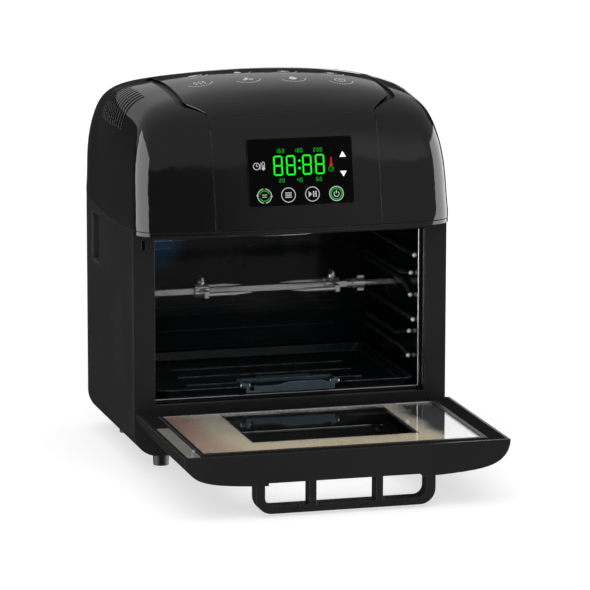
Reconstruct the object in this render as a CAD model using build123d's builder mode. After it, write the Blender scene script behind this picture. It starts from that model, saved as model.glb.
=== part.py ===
from build123d import *
import os
from math import cos, sin, radians, sqrt, atan2, pi

os.makedirs("parts", exist_ok=True)

# ---------------------------------------------------------------------------
# Driving dimensions, millimetres.
# Working axes: X to the right, Y to the back, Z up; y = 0 is the front face of
# the pillars beside the oven mouth and z = 0 is the table.
# ---------------------------------------------------------------------------
HALF_W = 155.0            # half width of the housing
Y_BACK = 228.0            # rear wall
Z_BASE = 15.0             # underside of the base
Z_SEAM = 235.0            # top of the lower body
SEAM = 0.6                # gap between the lower body and the top cover
WALL = 2.5                # moulded wall
BOTTOM_R = 24.0           # rounding of the lower edges
REAR_R = 30.0             # rounding of the rear corners
FRAME_T = 3.0             # front frame plate

MOUTH_X = 133.9           # half width of the opening in the front frame
MOUTH_Z0, MOUTH_Z1 = 64.0, 224.8
LINER_X = 131.0           # half width inside the cooking chamber
LINER_Z0, LINER_Z1 = 67.2, 221.0
LINER_Y0, LINER_Y1 = 16.0, 190.0
SHEET = 1.0               # sheet metal

LIP_Z0, LIP_Z1 = 231.2, 235.0
FASCIA_X = 82.0           # half width of the control fascia
LID_X = 101.0             # half width of the top lid
Y_LID = -2.9              # where the fascia gives way to the lid

HINGE_Y, HINGE_Z = -15.4, 44.7
DOOR_Z = 59.5             # inner face of the open door
DOOR_Y0, DOOR_Y1 = -8.5, -200.9
DOOR_X = 155.3
DOOR_T = 31.1             # door thickness at the middle
PIN_R = 2.5
LUG_R = 5.5
LUG_X0, LUG_X1 = 120.0, 132.0

WIN_X = 79.0              # half width of the door window
WIN_Y0, WIN_Y1 = -26.0, -142.0

SPIT_Y, SPIT_Z = 92.0, 155.3
SPIT_S = 5.6              # square rod
FORK_X = 66.0
FAN_X, FAN_Y = 0.0, 103.0

# the part's origin is on the table under the middle of its footprint with the door open
Y_MID = 0.5 * (Y_BACK + DOOR_Y1)

# bowed front: distance in from the side, distance forward
FRONT_D = [(0, 0), (0.12, 2.5), (0.75, 6.0), (2.3, 10.4), (5.3, 15.0), (9.8, 19.2), (15.6, 22.4),
           (24.0, 25.1), (38.0, 27.4), (56.0, 29.0), (78.0, 30.1), (103.0, 30.75), (129.0, 31.03), (155.0, 31.1)]
# rounded back: distance in from the side, distance backward
BACK_D = [(0, 0), (2.3, 11.5), (8.8, 21.2), (18.5, 27.4), (32.0, 29.7), (52.0, 30.0), (77.0, 30.0),
          (103.0, 30.0), (129.0, 30.0), (155.0, 30.0)]

# plan sections of the top cover: z, half width, front, start and end of the straight side, back, roundness
DOME = [
    (235.6, 155.0, -31.7, 0.0, 198.0, 228.0, 0.00),
    (250.0, 154.8, -29.6, 1.5, 198.0, 228.0, 0.00),
    (272.0, 154.2, -25.1, 5.5, 198.0, 228.0, 0.00),
    (300.0, 153.2, -19.4, 11.0, 197.5, 227.5, 0.04),
    (319.5, 151.4, -14.9, 15.5, 196.0, 226.0, 0.12),
    (335.2, 147.4, -8.5, 22.0, 190.0, 220.0, 0.20),
    (346.2, 139.5, 0.6, 30.0, 180.0, 208.0, 0.30),
    (354.1, 123.5, 10.8, 38.2, 168.0, 190.0, 0.48),
    (360.1, 100.0, 22.6, 46.5, 150.0, 168.5, 0.70),
    (364.0, 75.6, 37.5, 56.5, 136.0, 149.0, 0.85),
    (366.4, 50.0, 54.9, 66.9, 119.0, 126.5, 0.94),
    (367.35, 29.0, 68.0, 74.8, 105.5, 110.0, 0.98),
    (367.75, 13.0, 79.5, 82.6, 95.5, 98.0, 1.00),
    (367.85, 5.0, 84.9, 86.2, 90.9, 92.0, 1.00),
]


def block(x0, x1, y0, y1, z0, z1, mode=Mode.ADD):
    with Locations((0.5 * (x0 + x1), 0.5 * (y0 + y1), 0.5 * (z0 + z1))):
        Box(abs(x1 - x0), abs(y1 - y0), abs(z1 - z0), mode=mode)


def rod(p, r, length, direction, mode=Mode.ADD):
    """A round bar from p along direction."""
    with Locations(Plane(origin=p, z_dir=direction)):
        Cylinder(r, length, align=(Align.CENTER, Align.CENTER, Align.MIN), mode=mode)


def plan_face(z, w, yf, y1, y2, yb, m):
    """One plan section: bowed front, straight sides and rounded back, drawn towards an ellipse by m."""
    fr = [(-w + d * w / 155.0, y1 + (yf - y1) * t / 31.1) for d, t in FRONT_D]
    fr += [(-x, y) for x, y in reversed(fr[:-1])]
    bk = [(w - d * w / 155.0, y2 + (yb - y2) * t / 30.0) for d, t in BACK_D]
    sd = [(w, y1 + (y2 - y1) * k / 6.0) for k in range(1, 6)]
    half = fr[len(FRONT_D) - 1:] + sd + bk                     # front middle, round by the right, to the back middle
    ring = half + [(-x, y) for x, y in reversed(half[1:-1])]
    k = len(half) - 1
    ring = ring[k:] + ring[:k]                                 # starts at the back middle
    yc, h = 0.5 * (yf + yb), 0.5 * (yb - yf)
    pts = []
    for x, y in ring:
        u, v = x / w, (y - yc) / h
        f = (1.0 - m) + m / sqrt(u * u + v * v)
        pts.append((u * f * w, yc + v * f * h))
    with BuildSketch(Plane.XY.offset(z)) as sk:
        with BuildLine():
            Spline(*pts, periodic=True)
        make_face()
    return sk.sketch.faces()[0]


def dome_faces(off):
    """Sections of the top cover, moved inward by off."""
    rows = []
    for i, (z, w, yf, y1, y2, yb, m) in enumerate(DOME):
        k = (z - DOME[0][0]) / (DOME[-1][0] - DOME[0][0])
        zz = z - off * k ** 1.5
        s = 1.0 - 0.35 * k ** 4
        if off > 0 and i == 0:
            zz = z - 4.0
        rows.append(plan_face(zz, w - off * s, yf + off * s, y1 + 0.2 * off, y2 - 0.2 * off, yb - off * s, m))
    return rows


# ---------------------------------------------------------------------------
# Upper housing
# ---------------------------------------------------------------------------
with BuildPart() as dome0:
    loft(sections=dome_faces(0.0))
with BuildPart() as dome1:
    loft(sections=dome_faces(2.6))


def lid_outline(grow, front):
    """Plan of the top lid: narrow where it meets the fascia, wider on top."""
    a, c = FASCIA_X - 0.3, LID_X + grow
    y_in, y_turn = 2.0 - 0.2 * grow, 19.5 - 0.33 * grow
    with BuildSketch(Plane.XY.offset(200)) as sk:
        with BuildLine():
            FilletPolyline(
                (-a, front), (-a, y_in), (-c, y_turn), (-c, 150 + grow),
                (c, 150 + grow), (c, y_turn), (a, y_in), (a, front),
                radius=[6.0, 10.0, 8.0, 8.0, 10.0, 6.0], close=False)
            Line((a, front), (-a, front))
        make_face()
    return sk.sketch


with BuildPart() as lid_prism:
    add(lid_outline(0.0, Y_LID + 0.25))
    extrude(amount=200)
with BuildPart() as groove_prism:
    add(lid_outline(7.5, Y_LID - 0.1))
    extrude(amount=200)
with BuildPart() as sub_outer_prism:
    add(lid_outline(11.0, Y_LID - 3.0))
    extrude(amount=200)
with BuildPart() as sub_inner_prism:
    add(lid_outline(-5.0, Y_LID - 4.0))
    extrude(amount=200)

# the seam along each side dips a little in the middle
with BuildPart() as seam_cut:
    with BuildSketch(Plane(origin=(0, 0, 0), x_dir=(0, 1, 0), z_dir=(1, 0, 0))):
        with BuildLine():
            ThreePointArc((0.0, Z_SEAM + 0.2), (100.0, Z_SEAM - 4.7), (200.0, Z_SEAM + 0.2))
            Polyline((200.0, Z_SEAM + 0.2), (200.0, Z_SEAM + 10), (0.0, Z_SEAM + 10), (0.0, Z_SEAM + 0.2))
        make_face()
    extrude(amount=170, both=True)
with BuildPart() as skirts:
    for side in (-1, 1):
        block(side * 152.5, side * 154.93, 3.6, 197.4, Z_SEAM - 8, Z_SEAM + 1.6)
    add(seam_cut.part.moved(Location((0, 0, SEAM))), mode=Mode.INTERSECT)

# top cover: shoulders and rear of the upper housing, with cooling slots over each shoulder
with BuildPart() as top_cover:
    add(dome0.part)
    add(dome1.part, mode=Mode.SUBTRACT)
    add(skirts.part)
    block(-FASCIA_X, FASCIA_X, -60, Y_LID, 200, 400, mode=Mode.SUBTRACT)
    add(groove_prism.part, mode=Mode.SUBTRACT)
    for side in (-1, 1):
        for i in range(11):
            y = 68.0 + 8.0 * i
            block(side * 165, side * 127, y - 1.9, y + 1.9, 321, 380, mode=Mode.SUBTRACT)

# control fascia: centre of the front, with the window for the display glass
LENS_X, LENS_H, LENS_T = 51.6, 63.2, 2.4
LEAN = (29.6 - 14.9) / (320.0 - 250.0)          # how far the fascia leans back
LENS_N = Vector(0, -1, LEAN).normalized()
LENS_MID = Vector(2.9, -22.6, 288.4)              # point on the front of the display glass
lens_plane = Plane(origin=LENS_MID - LENS_N * LENS_T + LENS_N * 0.7, x_dir=(1, 0, 0), z_dir=LENS_N)
with BuildPart() as control_fascia:
    add(dome0.part)
    add(dome1.part, mode=Mode.SUBTRACT)
    block(-FASCIA_X + SEAM, FASCIA_X - SEAM, -60, Y_LID - 0.25, 200, 400, mode=Mode.INTERSECT)
    with BuildSketch(lens_plane.offset(-12)):
        RectangleRounded(2 * LENS_X + 0.4, LENS_H + 0.4, 3.2)
    extrude(amount=30, mode=Mode.SUBTRACT)

with BuildPart() as display_glass:
    with BuildSketch(lens_plane):
        RectangleRounded(2 * LENS_X, LENS_H, 3.0)
    extrude(amount=LENS_T)
    chamfer(display_glass.faces().sort_by(Axis((0, 0, 0), LENS_N))[-1].edges(), 0.35)

# control board behind the display, with its connector and chips
with BuildPart() as control_board:
    with BuildSketch(lens_plane.offset(-6.5)):
        Rectangle(98, 62)
    extrude(amount=1.6)
    with BuildSketch(lens_plane.offset(-4.9)):
        with GridLocations(24, 0, 4, 1):
            with Locations((0, -22)):
                Rectangle(9, 9)
        with Locations((0, 8)):
            Rectangle(60, 24)
    extrude(amount=3.2)
    with BuildSketch(lens_plane.offset(-6.5)):
        with Locations((-30, -18)):
            Rectangle(22, 7)
        with Locations((18, 10)):
            Rectangle(12, 12)
    extrude(amount=-5)

# lid on top, and the frame under it that closes the groove around it
with BuildPart() as top_lid:
    add(dome0.part)
    add(dome1.part, mode=Mode.SUBTRACT)
    add(lid_prism.part, mode=Mode.INTERSECT)

with BuildPart() as lid_subframe:
    add(dome1.part.moved(Location((0, 0, -0.4))))
    add(sub_outer_prism.part, mode=Mode.INTERSECT)
    add(sub_inner_prism.part, mode=Mode.SUBTRACT)
    add(dome1.part.moved(Location((0, 0, -2.4))), mode=Mode.SUBTRACT)

# floor of the control bay: the lip over the door
with BuildPart() as bay_floor:
    fr = [(-HALF_W + d, -31.7 * t / 31.1) for d, t in FRONT_D]
    fr += [(-x, y) for x, y in reversed(fr[:-1])]
    with BuildSketch(Plane.XY.offset(LIP_Z0)):
        with BuildLine():
            Spline(*fr)
            Line((HALF_W, 0), (HALF_W, FRAME_T))
            Line((HALF_W, FRAME_T), (-HALF_W, FRAME_T))
            Line((-HALF_W, FRAME_T), (-HALF_W, 0))
        make_face()
    extrude(amount=LIP_Z1 - LIP_Z0)

# ---------------------------------------------------------------------------
# Lower housing
# ---------------------------------------------------------------------------
with BuildPart() as body_outer:
    with BuildSketch(Plane.XY.offset(Z_BASE)):
        with BuildLine():
            FilletPolyline((-HALF_W, 0), (-HALF_W, Y_BACK), (HALF_W, Y_BACK), (HALF_W, 0), radius=REAR_R)
            Line((HALF_W, 0), (-HALF_W, 0))
        make_face()
    extrude(amount=Z_SEAM - Z_BASE)
    low = body_outer.edges().filter_by_position(Axis.Z, Z_BASE - 0.1, Z_BASE + 0.1)
    fillet([e for e in low if e.center().Y > 1.0], BOTTOM_R)
with BuildPart() as body_inner:
    with BuildSketch(Plane.XY.offset(Z_BASE + WALL)):
        with BuildLine():
            FilletPolyline((-HALF_W + WALL, FRAME_T), (-HALF_W + WALL, Y_BACK - WALL),
                           (HALF_W - WALL, Y_BACK - WALL), (HALF_W - WALL, FRAME_T), radius=REAR_R - WALL)
            Line((HALF_W - WALL, FRAME_T), (-HALF_W + WALL, FRAME_T))
        make_face()
    extrude(amount=Z_SEAM)
    low = body_inner.edges().filter_by_position(Axis.Z, Z_BASE + WALL - 0.1, Z_BASE + WALL + 0.1)
    fillet([e for e in low if e.center().Y > FRAME_T + 1.0], BOTTOM_R - WALL)

GRIP_Y0, GRIP_Y1, GRIP_Z0, GRIP_Z1 = 145.0, 178.0, 175.0, 226.0
FLAT_X = HALF_W - BOTTOM_R

with BuildPart() as side_panel_left:
    add(body_outer.part)
    add(body_inner.part, mode=Mode.SUBTRACT)
    block(-170, -FLAT_X, FRAME_T + 0.3, 197.7, 0, Z_SEAM, mode=Mode.INTERSECT)
    add(seam_cut.part, mode=Mode.SUBTRACT)
    block(-170, -140, GRIP_Y0, GRIP_Y1, GRIP_Z0, GRIP_Z1, mode=Mode.SUBTRACT)
with BuildPart() as side_panel_right:
    add(body_outer.part)
    add(body_inner.part, mode=Mode.SUBTRACT)
    block(FLAT_X, 170, FRAME_T + 0.3, 197.7, 0, Z_SEAM, mode=Mode.INTERSECT)
    add(seam_cut.part, mode=Mode.SUBTRACT)
    block(140, 170, GRIP_Y0, GRIP_Y1, GRIP_Z0, GRIP_Z1, mode=Mode.SUBTRACT)

# finger cups set into the two side panels
with BuildPart() as grip_cups:
    for s in (-1, 1):
        block(s * 143.0, s * 154.6, GRIP_Y0 + 0.2, GRIP_Y1 - 0.2, GRIP_Z0 + 0.2, GRIP_Z1 - 0.2)
        block(s * 145.0, s * 160.0, GRIP_Y0 + 2.2, GRIP_Y1 - 2.2, GRIP_Z0 + 2.2, GRIP_Z1 - 2.2, mode=Mode.SUBTRACT)

VENT_X, VENT_Z0, VENT_Z1 = 62.0, 150.0, 206.0
INLET_X, INLET_Z, INLET_R = 108.0, 58.0, 7.0
BACK_SCREWS = [(-132, 210), (132, 210), (-132, 60), (132, 32), (0, 218), (0, 40)]
with BuildPart() as back_panel:
    add(body_outer.part)
    add(body_inner.part, mode=Mode.SUBTRACT)
    block(-170, 170, 198.0, 240, 0, Z_SEAM, mode=Mode.INTERSECT)
    block(-VENT_X, VENT_X, 220, 240, VENT_Z0, VENT_Z1, mode=Mode.SUBTRACT)
    rod((INLET_X, 220, INLET_Z), INLET_R, 20, (0, 1, 0), mode=Mode.SUBTRACT)
    for x, z in BACK_SCREWS:
        if abs(x) < 120:
            rod((x, 220, z), 2.1, 20, (0, 1, 0), mode=Mode.SUBTRACT)

# louvred outlet in the back
with BuildPart() as rear_vent:
    block(-VENT_X + 0.3, VENT_X - 0.3, 222.5, 229.0 - 1.2, VENT_Z0 + 0.3, VENT_Z1 - 0.3)
    for i in range(7):
        z = VENT_Z0 + 7.0 + 7.0 * i
        for x in (-39, 0, 39):
            block(x - 17, x + 17, 215, 235, z - 2.0, z + 2.0, mode=Mode.SUBTRACT)

# gland for the mains lead
with BuildPart() as cord_inlet:
    rod((INLET_X, 223.0, INLET_Z), INLET_R - 0.05, 4.98, (0, 1, 0))
    rod((INLET_X, 222.6, INLET_Z), 9.5, 2.7, (0, 1, 0))
    rod((INLET_X, 215.0, INLET_Z), 3.6, 20, (0, 1, 0), mode=Mode.SUBTRACT)

FEET = [(-122, 28), (122, 28), (-122, 172), (122, 172)]
with BuildPart() as base_pan:
    add(body_outer.part)
    add(body_inner.part, mode=Mode.SUBTRACT)
    block(-FLAT_X + 0.3, FLAT_X - 0.3, FRAME_T + 0.3, 197.7, 0, 22, mode=Mode.INTERSECT)
    for x, y in FEET:
        rod((x, y, 5), 2.2, 20, (0, 0, 1), mode=Mode.SUBTRACT)
    for i in range(7):
        for x in (-44, 0, 44):
            block(x - 17, x + 17, 70 + 9 * i, 73.5 + 9 * i, 5, 25, mode=Mode.SUBTRACT)
with BuildPart() as feet:
    for x, y in FEET:
        with Locations((x, y, 0)):
            Cone(7.4, 8.2, Z_BASE - 0.02, align=(Align.CENTER, Align.CENTER, Align.MIN))
        rod((x, y, -1), 4.0, 5.0, (0, 0, 1), mode=Mode.SUBTRACT)
        rod((x, y, -1), 2.2, 20.0, (0, 0, 1), mode=Mode.SUBTRACT)
# case screws: through the feet, through the back and into the hinge brackets
with BuildPart() as case_screws:
    for x, y in FEET:
        rod((x, y, 1.4), 3.6, 2.58, (0, 0, 1))
        rod((x, y, 3.9), 2.0, 18.0, (0, 0, 1))
    for x, z in BACK_SCREWS:
        if abs(x) < 120:
            rod((x, Y_BACK + 0.02 - 12.0, z), 2.0, 12.0, (0, 1, 0))
            rod((x, Y_BACK + 0.02, z), 3.6, 1.6, (0, 1, 0))
    for s in (-1, 1):
        for x in (112, 136.5):
            rod((s * x, FRAME_T + 0.1, 44), 1.5, 5.0, (0, 1, 0))
            rod((s * x, 5.25, 44), 2.8, 2.0, (0, 1, 0))

# ---------------------------------------------------------------------------
# Front frame around the mouth
# ---------------------------------------------------------------------------
LATCH_X, LATCH_Y = -144.6, -190.4
LATCH_Z = HINGE_Z + (HINGE_Y - LATCH_Y)
with BuildPart() as front_frame:
    add(body_outer.part)
    block(-170, 170, 0, FRAME_T, 0, LIP_Z0 - 0.2, mode=Mode.INTERSECT)
    block(-MOUTH_X, MOUTH_X, -5, 10, MOUTH_Z0, MOUTH_Z1, mode=Mode.SUBTRACT)
    for s in (-1, 1):
        block(s * (LUG_X0 - 0.4), s * (LUG_X1 + 0.4), -5, 10, HINGE_Z - LUG_R - 0.4, HINGE_Z + LUG_R + 0.4,
              mode=Mode.SUBTRACT)
    block(LATCH_X - 1.9, LATCH_X + 1.9, -5, 10, LATCH_Z - 4.6, LATCH_Z + 4.6, mode=Mode.SUBTRACT)

with BuildPart() as hinge_brackets:
    for s in (-1, 1):
        with Locations((s * 0.5 * (LUG_X0 + LUG_X1), HINGE_Y, HINGE_Z)):
            Cylinder(LUG_R, LUG_X1 - LUG_X0, rotation=(0, 90, 0))
        block(s * LUG_X0, s * LUG_X1, HINGE_Y, 5.2, HINGE_Z - LUG_R, HINGE_Z + LUG_R)
        block(s * 106, s * 140, FRAME_T + 0.2, 5.2, 33, 55)
        rod((s * 100, HINGE_Y, HINGE_Z), PIN_R + 0.06, 60, (s, 0, 0), mode=Mode.SUBTRACT)
        for x in (112, 136.5):
            rod((s * x, -1, 44), 1.6, 20, (0, 1, 0), mode=Mode.SUBTRACT)

# door switch behind the left pillar
with BuildPart() as door_switch:
    block(-150.5, -140.0, 9.0, 19.0, 205, 228)
    block(-149.0, -141.5, 8.0, 9.0, 208, 226)
    for z in (209, 217, 225):
        block(-146, -143.5, 19.0, 25.0, z - 1.5, z + 1.5)

# ---------------------------------------------------------------------------
# Cooking chamber
# ---------------------------------------------------------------------------
# enamelled collar from the front frame back to the liner
with BuildPart() as cavity_flange:
    block(-142, 142, FRAME_T + 0.2, FRAME_T + 1.0, 56.0, 230.0)
    block(-MOUTH_X - SHEET, MOUTH_X + SHEET, FRAME_T + 0.2, LINER_Y0, MOUTH_Z0 - SHEET, MOUTH_Z1 + SHEET)
    block(-MOUTH_X, MOUTH_X, 0, LINER_Y0 - 0.8, MOUTH_Z0, MOUTH_Z1, mode=Mode.SUBTRACT)
    block(-LINER_X, LINER_X, 0, 30, LINER_Z0, LINER_Z1, mode=Mode.SUBTRACT)
with BuildPart() as cavity_trim:
    block(-LINER_X - 1.7, LINER_X + 1.7, LINER_Y0 - 2.5, LINER_Y0 - 0.8, LINER_Z0 - 1.7, LINER_Z1 + 1.7)
    block(-LINER_X, LINER_X, 0, 30, LINER_Z0, LINER_Z1, mode=Mode.SUBTRACT)
    fillet(cavity_trim.faces().sort_by(Axis.Y)[0].edges(), 0.7)
    block(-200, 200, 0, 30, LINER_Z1, LINER_Z1 + 10, mode=Mode.SUBTRACT)

with BuildPart() as liner_left:
    block(-LINER_X - SHEET, -LINER_X, LINER_Y0, LINER_Y1 + SHEET, LINER_Z0 - SHEET, LINER_Z1 + SHEET)
with BuildPart() as liner_right:
    block(LINER_X, LINER_X + SHEET, LINER_Y0, LINER_Y1 + SHEET, LINER_Z0 - SHEET, LINER_Z1 + SHEET)
    rod((100, SPIT_Y, SPIT_Z), 6.5, 60, (1, 0, 0), mode=Mode.SUBTRACT)
with BuildPart() as liner_back:
    block(-LINER_X, LINER_X, LINER_Y1, LINER_Y1 + SHEET, LINER_Z0, LINER_Z1)
    # pressed swages that stiffen the back
    for z in (92, 116, 184, 204):
        block(-96, 96, LINER_Y1 - 1.2, LINER_Y1 + 0.2, z - 4.0, z + 4.0)
with BuildPart() as liner_floor:
    block(-LINER_X, LINER_X, LINER_Y0, LINER_Y1, LINER_Z0 - SHEET, LINER_Z0)
with BuildPart() as liner_ceiling:
    block(-LINER_X, LINER_X, LINER_Y0, LINER_Y1, LINER_Z1, LINER_Z1 + SHEET)
    rod((FAN_X, FAN_Y, 200), 78, 60, (0, 0, 1), mode=Mode.SUBTRACT)
    rod((96, 120, 200), 2.2, 60, (0, 0, 1), mode=Mode.SUBTRACT)

# shelf rails: two sets of three bent rods on each wall
RAIL_R = 2.4
RAILS = [[(182, 194.5), (19, 194.5)], [(182, 170.0), (70, 170.0), (29.5, 175.2)], [(182, 163.4), (56, 163.4), (31.5, 153.0)],
         [(182, 130.2), (22, 130.2)], [(182, 106.4), (78, 106.4), (34, 116.6)], [(182, 95.6), (62, 95.6), (37, 91.6)]]


def rail_pair(s, back):
    """Rails on one wall, flared at the mouth; back sets their front ends further in."""
    x = s * (LINER_X - RAIL_R - 0.05)
    for line in RAILS:
        pts = [(x, y if y > 180 else y + back, z) for y, z in line]
        with BuildLine() as path:
            if len(pts) == 2:
                Line(*pts)
            else:
                FilletPolyline(*pts, radius=14.0)
        with BuildSketch(Plane(origin=pts[0], z_dir=(0, -1, 0))) as ring:
            Circle(RAIL_R)
        with BuildPart() as one:
            sweep(sections=ring.sketch, path=path.wires()[0])
            with Locations(pts[-1]):
                Sphere(RAIL_R)
        yield one.part


with BuildPart() as rack_rails_left:
    for r in rail_pair(-1, 18.0):
        add(r)
with BuildPart() as rack_rails_right:
    for r in rail_pair(1, 0.0):
        add(r)

# ---------------------------------------------------------------------------
# Heater and fan above the chamber
# ---------------------------------------------------------------------------
with BuildPart() as fan_guard:
    rod((FAN_X, FAN_Y, LINER_Z1 - 1.5), 84, 1.4, (0, 0, 1))
    for r0, r1, n in ((16, 34, 8), (39, 56, 14), (61, 75, 20)):
        with Locations((FAN_X, FAN_Y, LINER_Z1 - 1)):
            with PolarLocations(0.5 * (r0 + r1), n):
                Box(r1 - r0, 6.5, 8, mode=Mode.SUBTRACT)
with BuildPart() as heat_shroud:
    rod((FAN_X, FAN_Y, LINER_Z1 + SHEET + 0.1), 86, 40, (0, 0, 1))
    rod((FAN_X, FAN_Y, LINER_Z1), 85, 40.1, (0, 0, 1), mode=Mode.SUBTRACT)
    rod((FAN_X, FAN_Y, 240), 7, 60, (0, 0, 1), mode=Mode.SUBTRACT)
    for a in (-4.5, 4.5):
        rod((FAN_X + 69.0, FAN_Y + a * 2, 240), 4.2, 60, (0, 0, 1), mode=Mode.SUBTRACT)

# tubular heater: an open double loop with two legs
HEAT_Z = 230.0
with BuildPart() as heating_element:
    for r in (69.0, 53.0):
        with BuildSketch(Plane(origin=(FAN_X + r * cos(radians(7.5)), FAN_Y + r * sin(radians(7.5)), HEAT_Z),
                               z_dir=(-sin(radians(7.5)), cos(radians(7.5)), 0))):
            Circle(3.3)
        revolve(axis=Axis((FAN_X, FAN_Y, HEAT_Z), (0, 0, 1)), revolution_arc=337)
    e = radians(344.5)
    with BuildSketch(Plane(origin=(FAN_X + 69 * cos(e), FAN_Y + 69 * sin(e), HEAT_Z),
                           z_dir=(-sin(e), cos(e), 0))):
        Circle(3.3)
    revolve(axis=Axis((FAN_X + 61 * cos(e), FAN_Y + 61 * sin(e), HEAT_Z), (0, 0, 1)), revolution_arc=180)
    for r in (69.0, 53.0):
        p = (FAN_X + r * cos(radians(7.5)), FAN_Y + r * sin(radians(7.5)), HEAT_Z)
        with Locations(p):
            Sphere(3.3)
        rod(p, 3.3, 26, (0, 0, 1))

with BuildPart() as convection_fan:
    rod((FAN_X, FAN_Y, 238), 9, 14, (0, 0, 1))
    rod((FAN_X, FAN_Y, 250), 46, 1.2, (0, 0, 1))
    with Locations((FAN_X, FAN_Y, 245.0)):
        with PolarLocations(29, 10):
            Box(33, 1.2, 11)
    rod((FAN_X, FAN_Y, 230), 4.0, 40, (0, 0, 1), mode=Mode.SUBTRACT)
with BuildPart() as fan_shaft:
    rod((FAN_X, FAN_Y, 236), 4.0, 96, (0, 0, 1))
with BuildPart() as cooling_fan:
    rod((FAN_X, FAN_Y, 270), 11, 12, (0, 0, 1))
    with Locations((FAN_X, FAN_Y, 276)):
        with PolarLocations(30, 7):
            Box(44, 12, 1.4, rotation=(32, 0, 0))
    rod((FAN_X, FAN_Y, 260), 4.0, 40, (0, 0, 1), mode=Mode.SUBTRACT)
# shaded-pole motor on its own bracket
with BuildPart() as fan_motor:
    block(-66, 66, FAN_Y - 14, FAN_Y + 14, 288, 290.1)
    for s in (-1, 1):
        block(s * 64, s * 66, FAN_Y - 14, FAN_Y + 14, 262.3, 290)
        block(s * 64, s * 76, FAN_Y - 14, FAN_Y + 14, 262.3, 264.0)
    block(-30, 30, FAN_Y - 26, FAN_Y + 26, 298, 318)
    block(-22, 22, FAN_Y + 26, FAN_Y + 46, 296, 320)
    block(-34, 34, FAN_Y - 8, FAN_Y + 8, 290.1, 298)
    rod((FAN_X, FAN_Y, 318), 12, 8, (0, 0, 1))
    rod((FAN_X, FAN_Y, 280), 4.05, 70, (0, 0, 1), mode=Mode.SUBTRACT)

# board with the mains parts, beside the shroud
with BuildPart() as power_board:
    block(-146, -92, 60, 170, 240, 241.6)
    block(-140, -118, 70, 96, 241.6, 262)
    block(-112, -98, 72, 90, 241.6, 256)
    block(-138, -114, 108, 132, 241.6, 258)
    block(-110, -97, 112, 140, 241.6, 252)
    block(-140, -100, 150, 162, 241.6, 254)
with BuildPart() as temperature_probe:
    rod((96, 120, LINER_Z1 - 9), 2.0, 22, (0, 0, 1))
    rod((96, 120, LINER_Z1 + SHEET + 0.1), 5.0, 2.0, (0, 0, 1))

# ---------------------------------------------------------------------------
# Rotisserie drive, spit and forks
# ---------------------------------------------------------------------------
with BuildPart() as rotisserie_motor:
    rod((134.0, SPIT_Y, SPIT_Z), 24, 15.5, (1, 0, 0))
    block(132.6, 134.0, SPIT_Y - 32, SPIT_Y + 32, SPIT_Z - 9, SPIT_Z + 9)
    block(136, 147, SPIT_Y - 5, SPIT_Y + 5, SPIT_Z - 34, SPIT_Z - 20)
    rod((130.0, SPIT_Y, SPIT_Z), 3.06, 12, (1, 0, 0), mode=Mode.SUBTRACT)
SOCK_X0, SOCK_X1 = 87.0, 99.0
with BuildPart() as drive_socket:
    rod((SOCK_X0, SPIT_Y, SPIT_Z), 5.4, SOCK_X1 - SOCK_X0, (1, 0, 0))
    chamfer(drive_socket.faces().sort_by(Axis.X)[0].edges(), 0.8)
    block(SOCK_X0 + 5.5, SOCK_X1, SPIT_Y - 1.5, SPIT_Y + 1.5, SPIT_Z - 7.6, SPIT_Z + 7.6)
    rod((SOCK_X1, SPIT_Y, SPIT_Z), 3.0, 141.5 - SOCK_X1, (1, 0, 0))
    block(SOCK_X0 - 1, SOCK_X0 + 9.0, SPIT_Y - 2.95, SPIT_Y + 2.95, SPIT_Z - 2.95, SPIT_Z + 2.95, mode=Mode.SUBTRACT)

with BuildPart() as spit_bearing:
    block(-LINER_X + 0.1, -LINER_X + 1.8, SPIT_Y - 15, SPIT_Y + 15, SPIT_Z - 16, SPIT_Z + 5.0)
    block(-LINER_X + 1.8, -116.5, SPIT_Y - 7.0, SPIT_Y + 7.0, SPIT_Z - 10, SPIT_Z + 5.0)
    rod((-LINER_X + 2.6, SPIT_Y, SPIT_Z), 3.2, 30, (1, 0, 0), mode=Mode.SUBTRACT)
    block(-LINER_X + 2.6, -110, SPIT_Y - 3.2, SPIT_Y + 3.2, SPIT_Z, SPIT_Z + 30, mode=Mode.SUBTRACT)
with BuildPart() as spit_rod:
    block(-113.0, SOCK_X0 + 8.4, SPIT_Y - 0.5 * SPIT_S, SPIT_Y + 0.5 * SPIT_S, SPIT_Z - 0.5 * SPIT_S, SPIT_Z + 0.5 * SPIT_S)
    rod((-124.2, SPIT_Y, SPIT_Z), 3.1, 11.5, (1, 0, 0))
    rod((-113.6, SPIT_Y, SPIT_Z), 5.2, 3.0, (1, 0, 0))
    rod((SOCK_X0 - 6.0, SPIT_Y, SPIT_Z), 4.4, 5.0, (1, 0, 0))
    chamfer(spit_rod.faces().sort_by(Axis.X)[0].edges(), 1.0)

TINE = 46.0


def make_fork(s):
    """Two-tined fork whose tines point to the middle of the spit."""
    x = s * FORK_X
    with BuildPart() as fork:
        rod((x - 7, SPIT_Y, SPIT_Z), 7.0, 14, (1, 0, 0))
        block(x - 2, x + 2, SPIT_Y - 24, SPIT_Y + 24, SPIT_Z - 3.2, SPIT_Z + 3.2)
        for t in (-1, 1):
            c = (x + 2 * s, SPIT_Y + t * 21.5, SPIT_Z)
            rod(c, 2.2, TINE - 14, (-s, 0, 0))
            with Locations(Plane(origin=(x - s * (TINE - 16), SPIT_Y + t * 21.5, SPIT_Z), z_dir=(-s, 0, 0))):
                Cone(2.2, 0.25, 16, align=(Align.CENTER, Align.CENTER, Align.MIN))
        block(x - 20, x + 20, SPIT_Y - 2.9, SPIT_Y + 2.9, SPIT_Z - 2.9, SPIT_Z + 2.9, mode=Mode.SUBTRACT)
        rod((x, SPIT_Y, SPIT_Z + 2), 2.56, 20, (0, 0, 1), mode=Mode.SUBTRACT)
    return fork.part


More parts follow.
